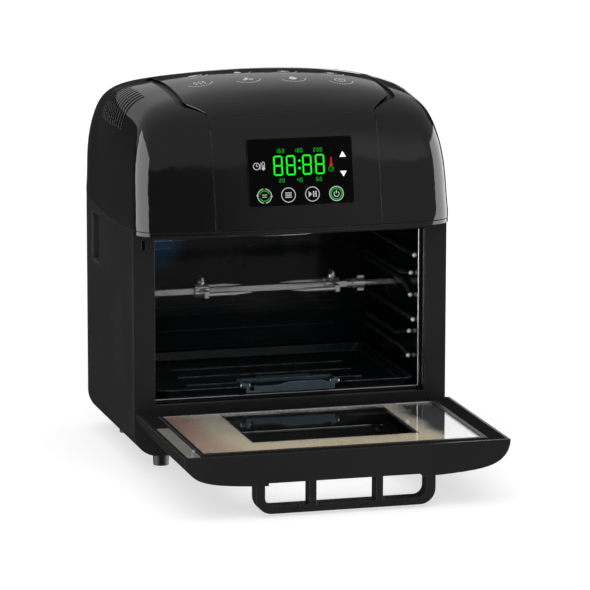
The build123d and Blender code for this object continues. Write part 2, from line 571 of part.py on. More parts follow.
def make_thumb(s):
    x = s * FORK_X
    with BuildPart() as thumb:
        rod((x, SPIT_Y, SPIT_Z + 2.95), 2.5, 6.4, (0, 0, 1))
        rod((x, SPIT_Y, SPIT_Z + 7.6), 4.0, 2.6, (0, 0, 1))
        with Locations((x, SPIT_Y, SPIT_Z + 11.6)):
            Box(2.4, 14, 5.6)
        fillet(thumb.edges().filter_by(Axis.X).group_by(Axis.Z)[-1], 2.4)
    return thumb.part


with BuildPart() as spit_fork_left:
    add(make_fork(-1))
with BuildPart() as spit_fork_right:
    add(make_fork(1))
with BuildPart() as thumb_screw_left:
    add(make_thumb(-1))
with BuildPart() as thumb_screw_right:
    add(make_thumb(1))

# ---------------------------------------------------------------------------
# Drip tray with its folding bail
# ---------------------------------------------------------------------------
TRAY_Z = LINER_Z0 + 0.4
BAIL_Y, BAIL_Z, BAIL_X = 5.6, 77.6, 47.0
with BuildPart() as drip_tray:
    with BuildSketch(Plane.XY.offset(TRAY_Z)):
        with Locations((0, 98)):
            RectangleRounded(243, 166, 9)
    with BuildSketch(Plane.XY.offset(TRAY_Z + 8.0)):
        with Locations((0, 98)):
            RectangleRounded(251, 172, 11)
    loft()
    with BuildSketch(Plane.XY.offset(TRAY_Z + 7.2)):
        with Locations((0, 98)):
            RectangleRounded(256, 176, 12)
    extrude(amount=0.9)
    with BuildSketch(Plane.XY.offset(TRAY_Z + 0.9)):
        with Locations((0, 98)):
            RectangleRounded(241, 164, 8)
    with BuildSketch(Plane.XY.offset(TRAY_Z + 8.6)):
        with Locations((0, 98)):
            RectangleRounded(249, 170, 10)
    loft(mode=Mode.SUBTRACT)
    # pressed ribs in the pan
    for y in (62, 98, 134):
        block(-88, 88, y - 3, y + 3, TRAY_Z + 0.3, TRAY_Z + 1.9)
    # ears for the bail
    for s in (-1, 1):
        block(s * (BAIL_X - 6.2), s * (BAIL_X - 3.2), 0.7, 13.0, TRAY_Z + 4.0, BAIL_Z + 3.2)
        rod((s * (BAIL_X - 12), BAIL_Y, BAIL_Z), 1.6, 20, (s, 0, 0), mode=Mode.SUBTRACT)
    # front plate between the ears, raised in the middle
    with BuildSketch(Plane(origin=(0, 2.4, 0), x_dir=(1, 0, 0), z_dir=(0, -1, 0))):
        with BuildLine():
            Polyline((-43.8, TRAY_Z + 3.6), (43.8, TRAY_Z + 3.6), (43.8, TRAY_Z + 8.6), (31.0, TRAY_Z + 12.6), (-1.0, TRAY_Z + 12.6),
                     (-15.0, TRAY_Z + 9.2), (-36.0, TRAY_Z + 9.2), (-36.0, TRAY_Z + 5.4), (-43.8, TRAY_Z + 5.4), (-43.8, TRAY_Z + 3.6))
        make_face()
    extrude(amount=1.8)
with BuildPart() as tray_rivets:
    for s in (-1, 1):
        rod((s * (BAIL_X - 6.2 - 0.9), BAIL_Y, BAIL_Z), 1.55, 8.2, (s, 0, 0))
        rod((s * (BAIL_X - 6.2 - 1.0), BAIL_Y, BAIL_Z), 2.9, 0.95, (s, 0, 0))
        rod((s * (BAIL_X + 1.0), BAIL_Y, BAIL_Z), 3.0, 1.2, (s, 0, 0))
# bail: a bent strap that lies back over the pan
with BuildPart() as tray_handle:
    for s in (-1, 1):
        rod((s * (BAIL_X - 3.0), BAIL_Y, BAIL_Z), 3.2, 3.0, (s, 0, 0))
        block(s * (BAIL_X - 3.0), s * BAIL_X, BAIL_Y, BAIL_Y + 24, BAIL_Z - 1.3, BAIL_Z + 1.9)
        rod((s * (BAIL_X - 12), BAIL_Y, BAIL_Z), 1.61, 24, (s, 0, 0), mode=Mode.SUBTRACT)
    block(-BAIL_X, BAIL_X, BAIL_Y + 18, BAIL_Y + 24, BAIL_Z - 0.2, BAIL_Z + 1.9)
    block(-26, 26, BAIL_Y + 14, BAIL_Y + 27, BAIL_Z - 0.2, BAIL_Z + 2.6)

# ---------------------------------------------------------------------------
# Door, drawn open
# ---------------------------------------------------------------------------


def d_curve(off):
    """Door section, moved inward by off: points from left to right."""
    pts = [(-DOOR_X + d * DOOR_X / 155.0, DOOR_Z - DOOR_T * t / 31.1) for d, t in FRONT_D]
    pts += [(-x, z) for x, z in reversed(pts[:-1])]
    if off == 0.0:
        return pts
    out = []
    for i, (x, z) in enumerate(pts):
        a = pts[max(i - 1, 0)]
        b = pts[min(i + 1, len(pts) - 1)]
        tx, tz = b[0] - a[0], b[1] - a[1]
        n = sqrt(tx * tx + tz * tz)
        out.append((x - tz / n * off, z + tx / n * off))
    out[0] = (pts[0][0] + off, DOOR_Z)
    out[-1] = (pts[-1][0] - off, DOOR_Z)
    return out


def door_prism(off, y0, y1):
    pts = d_curve(off)
    with BuildPart() as prism:
        with BuildSketch(Plane(origin=(0, y0, 0), x_dir=(1, 0, 0), z_dir=(0, -1, 0))):
            with BuildLine():
                Spline(*pts)
                Line(pts[-1], pts[0])
            make_face()
        extrude(amount=y0 - y1)
    return prism.part


HANDLE_X0, HANDLE_X1 = -88.0, 83.1
with BuildPart() as door_void:
    add(door_prism(WALL, DOOR_Y0 - WALL, DOOR_Y1 + WALL))
    block(HANDLE_X0 + 9, HANDLE_X1 - 9, -173.5, -205, 0, 34.6, mode=Mode.SUBTRACT)
NOTCH_Z = HINGE_Z - LUG_R - 0.7
# room for the hinge edge to turn past the front frame
with BuildPart() as hinge_relief:
    block(-160, 160, HINGE_Y, DOOR_Y0 + 5, HINGE_Z, 70)
    rod((-165, HINGE_Y, HINGE_Z), 14.9, 330, (1, 0, 0), mode=Mode.SUBTRACT)
with BuildPart() as door_outer_shell:
    add(door_prism(0.0, DOOR_Y0, DOOR_Y1))
    add(door_void.part, mode=Mode.SUBTRACT)
    add(hinge_relief.part, mode=Mode.SUBTRACT)
    with BuildSketch(Plane.XY):
        with Locations((0, 0.5 * (WIN_Y0 + WIN_Y1))):
            RectangleRounded(2 * WIN_X, WIN_Y0 - WIN_Y1, 7)
    extrude(amount=40, mode=Mode.SUBTRACT)
    # finger recess behind the handle
    block(HANDLE_X0 + 12, HANDLE_X1 - 12, -176, -210, 0, 31.9, mode=Mode.SUBTRACT)
    for s in (-1, 1):
        block(s * (LUG_X0 - 1.0), s * (LUG_X1 + 1.0), -23.2, 0, NOTCH_Z, 70, mode=Mode.SUBTRACT)

GL_X, GL_Y0, GL_Y1 = 137.0, -25.2, -188.0
PLATE_X0, PLATE_X1, PLATE_Y0, PLATE_Y1 = -151.2, -138.6, -74.0, -197.4
with BuildPart() as door_inner_frame:
    block(-DOOR_X + WALL + 0.3, DOOR_X - WALL - 0.3, DOOR_Y0 - WALL - 0.2, DOOR_Y1 + WALL + 0.2, 57.0, DOOR_Z - 0.1)
    block(-141, 141, GL_Y0 + 3.6, GL_Y1 - 3.6, 55.1, 57.0)
    block(-GL_X - 0.2, GL_X + 0.2, GL_Y0 + 0.2, GL_Y1 - 0.2, 40, 70, mode=Mode.SUBTRACT)
    for s in (-1, 1):
        block(s * (LUG_X0 - 1.0), s * (LUG_X1 + 1.0), -23.2, 0, 40, 70, mode=Mode.SUBTRACT)
    add(hinge_relief.part, mode=Mode.SUBTRACT)
    # channel for the latch plate
    block(PLATE_X0 - 0.15, PLATE_X1 + 0.15, PLATE_Y0 + 0.15, PLATE_Y1 - 0.15, 58.0, 70, mode=Mode.SUBTRACT)
with BuildPart() as glass_retainer:
    block(-GL_X, GL_X, GL_Y0, GL_Y1, 58.8, DOOR_Z - 0.1)
    block(-GL_X + 4.2, GL_X - 4.2, GL_Y0 - 2.6, GL_Y1 + 4.2, 50, 70, mode=Mode.SUBTRACT)
with BuildPart() as door_inner_glass:
    block(-GL_X + 0.3, GL_X - 0.3, GL_Y0 - 0.3, GL_Y1 + 0.3, 55.2, 58.75)
MASK_Y0, MASK_Y1, MASK_X0, MASK_X1 = -28.0, -146.0, -75.5, 82.0
with BuildPart() as window_mask:
    block(-140.8, 140.8, GL_Y0 + 3.4, GL_Y1 - 3.4, 53.6, 55.0)
    block(MASK_X0 - 2, MASK_X1 + 2, MASK_Y0 + 2, MASK_Y1 - 2, 40, 70, mode=Mode.SUBTRACT)
with BuildPart() as window_trim:
    block(MASK_X0 - 1.9, MASK_X1 + 1.9, MASK_Y0 + 1.9, MASK_Y1 - 1.9, 53.4, 55.1)
    block(MASK_X0, MASK_X1, MASK_Y0, MASK_Y1, 40, 70, mode=Mode.SUBTRACT)
with BuildPart() as door_outer_glass:
    block(-84, 84, WIN_Y0 + 4.5, WIN_Y1 - 4.5, 32.7, 35.7)

with BuildPart() as door_hinge_blocks:
    for s in (-1, 1):
        block(s * 112.0, s * 137.6, -30.5, -11.2, 40.2, 53.3)
        block(s * (LUG_X0 - 1.0), s * (LUG_X1 + 1.0), -23.2, 0, NOTCH_Z, 70, mode=Mode.SUBTRACT)
        rod((s * 100, HINGE_Y, HINGE_Z), PIN_R + 0.02, 60, (s, 0, 0), mode=Mode.SUBTRACT)
with BuildPart() as hinge_pins:
    for s in (-1, 1):
        rod((s * 112.4, HINGE_Y, HINGE_Z), PIN_R, 25.0, (s, 0, 0))

# latch plate: a steel strip let into the inner frame, with the tongue standing on its front end
with BuildPart() as latch_tongue:
    block(PLATE_X0, PLATE_X1, PLATE_Y0, PLATE_Y1, 58.05, 59.0)
    block(LATCH_X - 4.0, LATCH_X + 4.0, LATCH_Y - 6.0, LATCH_Y + 6.0, 59.0, DOOR_Z + 0.2)
    block(LATCH_X - 1.1, LATCH_X + 1.1, LATCH_Y - 3.0, LATCH_Y + 3.0, 59.0, 65.0)
    fillet(latch_tongue.edges().filter_by(Axis.X).group_by(Axis.Z)[-1], 1.6)

# loop handle with two ribs
HANDLE_Z0, HANDLE_T = 3.0, 6.6
HANDLE_Y0, HANDLE_Y1 = -185.2, -200.6
with BuildPart() as door_handle:
    with BuildSketch(Plane(origin=(0, HANDLE_Y0, 0), x_dir=(1, 0, 0), z_dir=(0, -1, 0))):
        with BuildLine():
            FilletPolyline((HANDLE_X0, 30.4), (HANDLE_X0, HANDLE_Z0), (HANDLE_X1, HANDLE_Z0), (HANDLE_X1, 30.4), radius=15)
            Line((HANDLE_X1, 30.4), (HANDLE_X0, 30.4))
        make_face()
        with BuildLine():
            FilletPolyline((HANDLE_X0 + 8.5, 33), (HANDLE_X0 + 8.5, HANDLE_Z0 + HANDLE_T),
                           (HANDLE_X1 - 8.5, HANDLE_Z0 + HANDLE_T), (HANDLE_X1 - 8.5, 33), radius=9)
            Line((HANDLE_X1 - 8.5, 33), (HANDLE_X0 + 8.5, 33))
        make_face(mode=Mode.SUBTRACT)
        for x in (-34.1, 29.4):
            with Locations((x, 0.5 * (HANDLE_Z0 + 31.8))):
                Rectangle(6.4, 31.8 - HANDLE_Z0)
    extrude(amount=HANDLE_Y0 - HANDLE_Y1)
    add(door_outer_shell.part, mode=Mode.SUBTRACT)
with BuildPart() as handle_screws:
    for x in (HANDLE_X0 + 4.3, HANDLE_X1 - 4.3):
        for y in (-188.4, -194.6):
            rod((x, y, 32.6), 2.6, 2.0, (0, 0, 1))

PIECES = {
    "base_pan": base_pan, "side_panel_left": side_panel_left, "side_panel_right": side_panel_right,
    "back_panel": back_panel, "front_frame": front_frame, "bay_floor": bay_floor, "top_cover": top_cover,
    "top_lid": top_lid, "lid_subframe": lid_subframe, "control_fascia": control_fascia,
    "display_glass": display_glass, "control_board": control_board, "power_board": power_board,
    "grip_cups": grip_cups, "rear_vent": rear_vent, "cord_inlet": cord_inlet, "feet": feet,
    "case_screws": case_screws, "liner_left": liner_left,
    "liner_right": liner_right, "liner_back": liner_back, "liner_floor": liner_floor,
    "liner_ceiling": liner_ceiling, "cavity_flange": cavity_flange, "cavity_trim": cavity_trim,
    "rack_rails_left": rack_rails_left, "rack_rails_right": rack_rails_right, "heat_shroud": heat_shroud,
    "heating_element": heating_element, "fan_guard": fan_guard, "fan_motor": fan_motor,
    "convection_fan": convection_fan, "fan_shaft": fan_shaft,
    "cooling_fan": cooling_fan, "rotisserie_motor": rotisserie_motor, "drive_socket": drive_socket,
    "spit_bearing": spit_bearing, "spit_rod": spit_rod, "spit_fork_left": spit_fork_left,
    "spit_fork_right": spit_fork_right, "thumb_screw_left": thumb_screw_left,
    "thumb_screw_right": thumb_screw_right, "drip_tray": drip_tray, "tray_rivets": tray_rivets,
    "tray_handle": tray_handle, "hinge_brackets": hinge_brackets,
    "door_switch": door_switch, "temperature_probe": temperature_probe,
    "door_outer_shell": door_outer_shell, "door_inner_frame": door_inner_frame,
    "glass_retainer": glass_retainer, "door_inner_glass": door_inner_glass, "window_mask": window_mask,
    "window_trim": window_trim, "door_outer_glass": door_outer_glass, "door_hinge_blocks": door_hinge_blocks,
    "hinge_pins": hinge_pins, "latch_tongue": latch_tongue, "door_handle": door_handle,
    "handle_screws": handle_screws,
}

# every piece is moved to the part's origin and written
for name, piece in PIECES.items():
    moved = piece.part.moved(Location((0, -Y_MID, 0)))
    moved.label = name
    export_step(moved, f"parts/{name}.step")
print(len(PIECES), "pieces, shift", -Y_MID)
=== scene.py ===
"""Looks of a counter-top rotisserie oven, built round its packed construction."""

import math

import bmesh
import bpy
from mathutils import Matrix, Vector
from mathutils.bvhtree import BVHTree


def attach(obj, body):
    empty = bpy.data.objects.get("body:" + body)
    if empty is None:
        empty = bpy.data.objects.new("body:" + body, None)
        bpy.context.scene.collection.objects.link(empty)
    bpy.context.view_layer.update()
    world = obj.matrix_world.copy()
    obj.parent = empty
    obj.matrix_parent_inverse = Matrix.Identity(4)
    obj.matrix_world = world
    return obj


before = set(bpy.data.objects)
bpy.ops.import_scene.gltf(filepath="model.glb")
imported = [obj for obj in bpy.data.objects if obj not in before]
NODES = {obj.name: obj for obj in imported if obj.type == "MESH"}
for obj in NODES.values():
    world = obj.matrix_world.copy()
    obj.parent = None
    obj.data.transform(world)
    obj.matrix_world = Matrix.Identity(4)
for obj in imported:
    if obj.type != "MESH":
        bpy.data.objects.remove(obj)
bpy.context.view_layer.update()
SCENE = bpy.context.scene
MM = 0.001
Y_SHIFT = -13.55  # the part's origin, from the front pillar plane, in mm


# ---------------------------------------------------------------------------
# Node helpers
# ---------------------------------------------------------------------------
class Tree:
    """A material's node tree with one principled surface."""

    def __init__(self, name):
        self.mat = bpy.data.materials.new(name)
        self.mat.use_nodes = True
        self.nt = self.mat.node_tree
        self.nt.nodes.clear()
        self.out = self.add("ShaderNodeOutputMaterial")
        self.bsdf = self.add("ShaderNodeBsdfPrincipled")
        self.link(self.bsdf.outputs[0], self.out.inputs["Surface"])
        self.coord = self.add("ShaderNodeTexCoord").outputs["Object"]

    def add(self, kind, **settings):
        n = self.nt.nodes.new(kind)
        for k, v in settings.items():
            setattr(n, k, v)
        return n

    def link(self, a, b):
        self.nt.links.new(a, b)

    def set(self, **values):
        for k, v in values.items():
            self.bsdf.inputs[k.replace("_", " ")].default_value = v

    def scaled(self, scale):
        m = self.add("ShaderNodeMapping")
        m.inputs["Scale"].default_value = scale
        self.link(self.coord, m.inputs["Vector"])
        return m.outputs["Vector"]

    def noise(self, scale, detail=3.0, rough=0.5, vector=None):
        n = self.add("ShaderNodeTexNoise")
        n.inputs["Scale"].default_value = scale
        n.inputs["Detail"].default_value = detail
        n.inputs["Roughness"].default_value = rough
        self.link(vector or self.coord, n.inputs["Vector"])
        return n.outputs["Fac"]

    def voronoi(self, scale, feature="F1", vector=None):
        n = self.add("ShaderNodeTexVoronoi", feature=feature)
        n.inputs["Scale"].default_value = scale
        self.link(vector or self.coord, n.inputs["Vector"])
        return n

    def remap(self, value, a, b, c, d, smooth=False):
        n = self.add("ShaderNodeMapRange")
        n.interpolation_type = "SMOOTHSTEP" if smooth else "LINEAR"
        for k, v in (("From Min", a), ("From Max", b), ("To Min", c), ("To Max", d)):
            n.inputs[k].default_value = v
        self.link(value, n.inputs["Value"])
        return n.outputs["Result"]

    def math(self, op, a, b=None, clamp=False):
        n = self.add("ShaderNodeMath", operation=op)
        n.use_clamp = clamp
        for i, v in enumerate((a, b)):
            if v is None:
                continue
            if isinstance(v, (int, float)):
                n.inputs[i].default_value = v
            else:
                self.link(v, n.inputs[i])
        return n.outputs[0]

    def mix(self, fac, a, b):
        n = self.add("ShaderNodeMix", data_type="RGBA")
        for s, v in ((n.inputs[0], fac), (n.inputs[6], a), (n.inputs[7], b)):
            if isinstance(v, (int, float)):
                s.default_value = v
            elif isinstance(v, tuple):
                s.default_value = (*v, 1.0)
            else:
                self.link(v, s)
        return n.outputs[2]

    def edges(self, radius, gain=6.0):
        """Rounded normal for crisp edges, and a mask that is one along them."""
        bev = self.add("ShaderNodeBevel")
        bev.samples = 4
        bev.inputs["Radius"].default_value = radius
        geo = self.add("ShaderNodeNewGeometry")
        dot = self.add("ShaderNodeVectorMath", operation="DOT_PRODUCT")
        self.link(bev.outputs["Normal"], dot.inputs[0])
        self.link(geo.outputs["True Normal"], dot.inputs[1])
        inv = self.math("SUBTRACT", 1.0, dot.outputs["Value"], clamp=True)
        return bev.outputs["Normal"], self.math("MULTIPLY", inv, gain, clamp=True)

    def bump(self, height, strength, distance, normal=None):
        n = self.add("ShaderNodeBump")
        n.inputs["Strength"].default_value = strength
        n.inputs["Distance"].default_value = distance
        self.link(height, n.inputs["Height"])
        if normal is not None:
            self.link(normal, n.inputs["Normal"])
        self.link(n.outputs["Normal"], self.bsdf.inputs["Normal"])
        return n

    def color(self, value):
        self.link(value, self.bsdf.inputs["Base Color"])

    def rough(self, value):
        self.link(value, self.bsdf.inputs["Roughness"])


def moulded(name, base, lift, rough, spread, spec, grain, depth, edge_wear_highlight_color, edge_r=0.0006, edge_gain=5.0, coat=0.0):
    """Moulded black plastic: slow tone and gloss drift, a fine tool grain and paler edges, partly wear and partly a
    painted highlight.
    """
    t = Tree(name)
    normal, mask = t.edges(edge_r, edge_gain)
    drift = t.noise(14.0, 4.0, 0.6)
    fine = t.noise(420.0, 2.0, 0.5)
    col = t.mix(t.remap(drift, 0.3, 0.7, 0.0, 1.0), base, lift)
    # paler edges: a painted highlight along crisp edges, broken up by noise like wear
    edge_wear_and_highlight = t.math("MULTIPLY", mask, t.remap(t.noise(90.0, 4.0, 0.7), 0.35, 0.65, 0.35, 1.0))
    t.color(t.mix(edge_wear_and_highlight, col, edge_wear_highlight_color))
    t.rough(t.math("ADD", t.remap(drift, 0.3, 0.7, rough - spread, rough + spread),
                   t.remap(fine, 0.3, 0.7, -spread * 0.5, spread * 0.5)))
    t.bump(t.noise(grain, 3.0, 0.6), 0.25, depth, normal)
    t.set(Specular_IOR_Level=spec, Coat_Weight=coat, Coat_Roughness=0.05)
    return t.mat


def brushed(name, base, dark, rough, stretch, spread=0.06, depth=0.00002, edge_r=0.0004, stain=None, scale=60.0, metal=1.0):
    """Drawn or rolled metal: fine lines along one direction, faint stains and brighter edges, a painted highlight."""
    t = Tree(name)
    normal, mask = t.edges(edge_r, 4.0)
    lines = t.noise(scale, 5.0, 0.65, t.scaled(stretch))
    cloud = t.noise(22.0, 4.0, 0.6)
    col = t.mix(t.remap(lines, 0.3, 0.7, 0.0, 1.0), dark, base)
    if stain is not None:
        col = t.mix(t.remap(cloud, 0.52, 0.72, 0.0, 0.55, True), col, stain)
    # brighter edges: a painted highlight
    bright = tuple(min(1.0, c * 1.12) for c in base)
    t.color(t.mix(t.math("MULTIPLY", mask, 0.6), col, bright))
    t.rough(t.math("ADD", t.remap(lines, 0.3, 0.7, rough - spread, rough + spread),
                   t.remap(cloud, 0.3, 0.7, -0.03, 0.05)))
    t.bump(lines, 0.2, depth, normal)
    t.set(Metallic=metal)
    return t.mat


def plate_painted_reflection():
    """Bright-rolled steel behind the pane: a mirror on its right; elsewhere a painted reflection in cream, brighter
    towards the door front and brown to the left.
    """
    t = Tree("plate_painted_reflection")
    lines = t.noise(60.0, 5.0, 0.65, t.scaled((1.0, 0.04, 1.0)))
    cloud = t.noise(16.0, 5.0, 0.62)
    at = t.add("ShaderNodeSeparateXYZ")
    t.link(t.coord, at.inputs[0])
    x = t.math("ADD", at.outputs["X"], t.remap(cloud, 0.3, 0.7, -0.010, 0.010))
    y = t.math("ADD", at.outputs["Y"], t.remap(cloud, 0.3, 0.7, -0.014, 0.014))
    # front rises towards the door's front edge, where the painted reflection is brighter
    front = t.remap(y, -0.060, -0.185, 0.0, 1.0, True)
    # one over the left part, where the reflection is painted in cream and brown on a mostly diffuse plate; zero over
    # the true mirror on the right
    painted_reflection_zone = t.remap(x, 0.088, 0.108, 1.0, 0.0, True)
    straw_painted_reflection = t.mix(front, (0.66, 0.60, 0.51), (1.0, 0.86, 0.62))
    brown_painted_reflection = t.mix(front, (0.44, 0.26, 0.21), (0.66, 0.48, 0.37))
    col = t.mix(t.remap(x, -0.126, -0.082, 0.0, 1.0, True), brown_painted_reflection, straw_painted_reflection)
    col = t.mix(painted_reflection_zone, (0.87, 0.87, 0.86), col)
    t.color(t.mix(t.remap(lines, 0.3, 0.7, 0.0, 0.14), col, (0.40, 0.36, 0.31)))
    t.rough(t.math("ADD", t.remap(lines, 0.3, 0.7, 0.03, 0.06), t.math("MULTIPLY", painted_reflection_zone, 0.02)))
    t.bump(lines, 0.2, 0.000001)
    t.link(t.remap(painted_reflection_zone, 0.0, 1.0, 0.95, 0.12), t.bsdf.inputs["Metallic"])
    return t.mat


# ---------------------------------------------------------------------------
# Materials
# ---------------------------------------------------------------------------
GLOSS = moulded("gloss_black_plastic", (0.0046, 0.0046, 0.0048), (0.0054, 0.0054, 0.0056), 0.062, 0.012, 0.5,
                1500.0, 0.0000025, (0.022, 0.022, 0.023), 0.00035, 5.0)
# the same gloss plastic with a stronger painted highlight on its edges, for the cooling slots
VENT_PAINTED_HIGHLIGHT = moulded("vent_black_plastic_painted_highlight", (0.0046, 0.0046, 0.0048), (0.0054, 0.0054, 0.0056), 0.062, 0.012, 0.5,
               1500.0, 0.0000025, (0.09, 0.09, 0.093), 0.0007, 5.0)
LIP = moulded("gloss_black_lip", (0.0050, 0.0050, 0.0052), (0.0060, 0.0060, 0.0062), 0.075, 0.015, 0.5,
              1500.0, 0.0000025, (0.06, 0.06, 0.062), 0.0008, 4.0)
SATIN = moulded("satin_black_plastic", (0.0120, 0.0120, 0.0124), (0.0145, 0.0145, 0.0150), 0.34, 0.05, 0.28,
                2200.0, 0.000012, (0.05, 0.05, 0.052), 0.0008, 4.0)
DOOR = moulded("door_black_plastic", (0.0108, 0.0108, 0.0112), (0.0128, 0.0128, 0.0132), 0.30, 0.05, 0.26,
               2200.0, 0.00001, (0.06, 0.06, 0.062), 0.0009, 4.0)
INSIDE = moulded("door_inner_plastic", (0.0090, 0.0090, 0.0092), (0.0108, 0.0108, 0.0111), 0.50, 0.05, 0.0,
                 2200.0, 0.00001, (0.05, 0.05, 0.052), 0.0008, 4.0)
# glass retainer: a strong painted highlight along all its edges
EDGED = moulded("edged_black_strip", (0.0100, 0.0100, 0.0102), (0.0125, 0.0125, 0.0128), 0.40, 0.05, 0.2,
                1800.0, 0.00001, (0.30, 0.30, 0.30), 0.0009, 5.0)
CUP = moulded("cup_black_plastic", (0.030, 0.030, 0.031), (0.036, 0.036, 0.037), 0.36, 0.05, 0.3,
              2000.0, 0.000012, (0.08, 0.08, 0.082), 0.0008, 4.0)
GROOVE = moulded("groove_black_plastic", (0.004, 0.004, 0.0042), (0.0055, 0.0055, 0.0058), 0.42, 0.05, 0.2,
                 1800.0, 0.000012, (0.02, 0.02, 0.02), 0.0005, 3.0)
RUBBER = moulded("foot_rubber", (0.0085, 0.0085, 0.0085), (0.013, 0.013, 0.0125), 0.42, 0.08, 0.35,
                 900.0, 0.00003, (0.035, 0.035, 0.034), 0.0007, 3.0)
FAN_PLASTIC = moulded("fan_plastic", (0.02, 0.02, 0.021), (0.028, 0.028, 0.029), 0.5, 0.06, 0.3,
                      1200.0, 0.00002, (0.07, 0.07, 0.07), 0.0005, 3.0)
STAINLESS = brushed("drawn_stainless", (0.84, 0.84, 0.83), (0.66, 0.66, 0.65), 0.22, (0.05, 1.0, 1.0), stain=(0.50, 0.44, 0.38),
                    metal=0.88)
PLATE_PAINTED_REFLECTION = plate_painted_reflection()
RETAIN = brushed("retainer_steel", (0.66, 0.66, 0.65), (0.55, 0.55, 0.54), 0.22, (0.03, 1.0, 1.0), 0.05)
# pale, part-metallic rail tips: a painted highlight
TIP_PAINTED_HIGHLIGHT = brushed("rail_tip_painted_highlight", (0.78, 0.80, 0.80), (0.66, 0.68, 0.69), 0.20, (1.0, 1.0, 1.0), 0.05, metal=0.35)
BRIGHT = brushed("bright_edge_steel", (0.80, 0.80, 0.79), (0.62, 0.62, 0.61), 0.19, (1.0, 1.0, 0.05), 0.05)
ZINC = brushed("zinc_plated_steel", (0.56, 0.57, 0.60), (0.40, 0.41, 0.43), 0.36, (1.0, 0.15, 1.0), 0.07, stain=(0.45, 0.45, 0.40))
PLATE = brushed("latch_plate_steel", (0.40, 0.40, 0.36), (0.30, 0.30, 0.27), 0.26, (1.0, 0.03, 1.0), 0.07, metal=0.6)
FAN_ALU = brushed("stamped_aluminium", (0.66, 0.67, 0.68), (0.52, 0.53, 0.54), 0.30, (1.0, 1.0, 0.2), 0.06, stain=(0.42, 0.36, 0.30))
TUBE = brushed("heater_tube", (0.20, 0.19, 0.18), (0.12, 0.115, 0.11), 0.48, (1.0, 1.0, 1.0), 0.08, stain=(0.17, 0.12, 0.10))


def enamelled():
    """Vitreous enamel on steel: deep blue black with fine pale flecks and a wavy gloss."""
    t = Tree("dark_enamel")
    normal, mask = t.edges(0.0008, 4.0)
    cloud = t.noise(9.0, 4.0, 0.6)
    col = t.mix(t.remap(cloud, 0.3, 0.7, 0.0, 1.0), (0.0012, 0.0018, 0.0028), (0.0022, 0.0033, 0.0050))
    cells = t.voronoi(900.0)
    fleck = t.remap(cells.outputs["Distance"], 0.10, 0.26, 1.0, 0.0, True)
    pick = t.remap(t.noise(310.0, 1.0, 0.5), 0.56, 0.62, 0.0, 1.0)
    col = t.mix(t.math("MULTIPLY", fleck, pick), col, (0.022, 0.030, 0.040))
    soot = t.remap(t.noise(26.0, 6.0, 0.7), 0.55, 0.75, 0.0, 0.45, True)
    col = t.mix(soot, col, (0.0022, 0.0018, 0.0015))
    # pale bluish edges: a painted highlight along crisp edges
    t.color(t.mix(t.math("MULTIPLY", mask, 0.5), col, (0.10, 0.12, 0.15)))
    t.rough(t.math("ADD", t.remap(cloud, 0.3, 0.7, 0.13, 0.21), t.math("MULTIPLY", soot, 0.35)))
    wave = t.noise(70.0, 2.0, 0.5)
    t.bump(t.math("ADD", wave, t.math("MULTIPLY", fleck, 0.15)), 0.12, 0.0003, normal)
    t.set(Specular_IOR_Level=0.3, Coat_Weight=0.2, Coat_Roughness=0.08)
    return t.mat


def rail_enamel():
    """Enamelled wire rails: black, with a pale grey painted highlight along crisp edges."""
    t = Tree("rail_enamel")
    normal, mask = t.edges(0.0006, 4.0)
    cloud = t.noise(60.0, 4.0, 0.65)
    col = t.mix(t.remap(cloud, 0.3, 0.7, 0.0, 1.0), (0.020, 0.024, 0.030), (0.040, 0.046, 0.056))
    # pale grey along crisp edges: a painted highlight
    t.color(t.mix(t.math("MULTIPLY", mask, 0.4), col, (0.30, 0.31, 0.32)))
    t.rough(t.remap(cloud, 0.3, 0.7, 0.10, 0.22))
    t.bump(t.noise(260.0, 3.0, 0.6), 0.15, 0.0001, normal)
    t.set(Specular_IOR_Level=0.9, Coat_Weight=0.6, Coat_Roughness=0.06)
    return t.mat


def tray_coat(name, a, b, spec):
    """Non-stick coat: blue grey with fine pinholes, a satin skin and paler edges, partly rubbed wear and partly a
    painted rim highlight.
    """
    t = Tree(name)
    normal, mask = t.edges(0.0008, 4.0)
    cloud = t.noise(24.0, 5.0, 0.6)
    col = t.mix(t.remap(cloud, 0.3, 0.7, 0.0, 1.0), a, b)
    pin = t.remap(t.voronoi(1400.0).outputs["Distance"], 0.08, 0.2, 0.6, 0.0, True)
    col = t.mix(pin, col, tuple(c * 0.4 for c in a))
    # paler rims: a painted highlight, broken up by noise like rubbed wear
    rim_wear_and_highlight = t.math("MULTIPLY", mask, t.remap(t.noise(120.0, 4.0, 0.7), 0.4, 0.6, 0.2, 0.9))
    t.color(t.mix(rim_wear_and_highlight, col, (0.30, 0.32, 0.34)))
    t.rough(t.remap(cloud, 0.3, 0.7, 0.24, 0.38))
    t.bump(t.noise(800.0, 3.0, 0.6), 0.2, 0.00004, normal)
    t.set(Specular_IOR_Level=spec)
    return t.mat


def black_glass():
    """Touch glass printed black from behind."""
    t = Tree("display_black_glass")
    normal, mask = t.edges(0.0009, 2.0)
    cloud = t.noise(40.0, 3.0, 0.5)
    col = t.mix(t.remap(cloud, 0.3, 0.7, 0.0, 1.0), (0.0010, 0.0010, 0.0012), (0.0016, 0.0016, 0.0019))
    t.color(t.mix(t.math("MULTIPLY", mask, 0.3), col, (0.02, 0.02, 0.02)))
    t.rough(t.remap(t.noise(55.0, 5.0, 0.7), 0.35, 0.7, 0.03, 0.07))
    t.bump(t.noise(30.0, 2.0, 0.5), 0.05, 0.00005, normal)
    t.set(Specular_IOR_Level=0.08)
    return t.mat


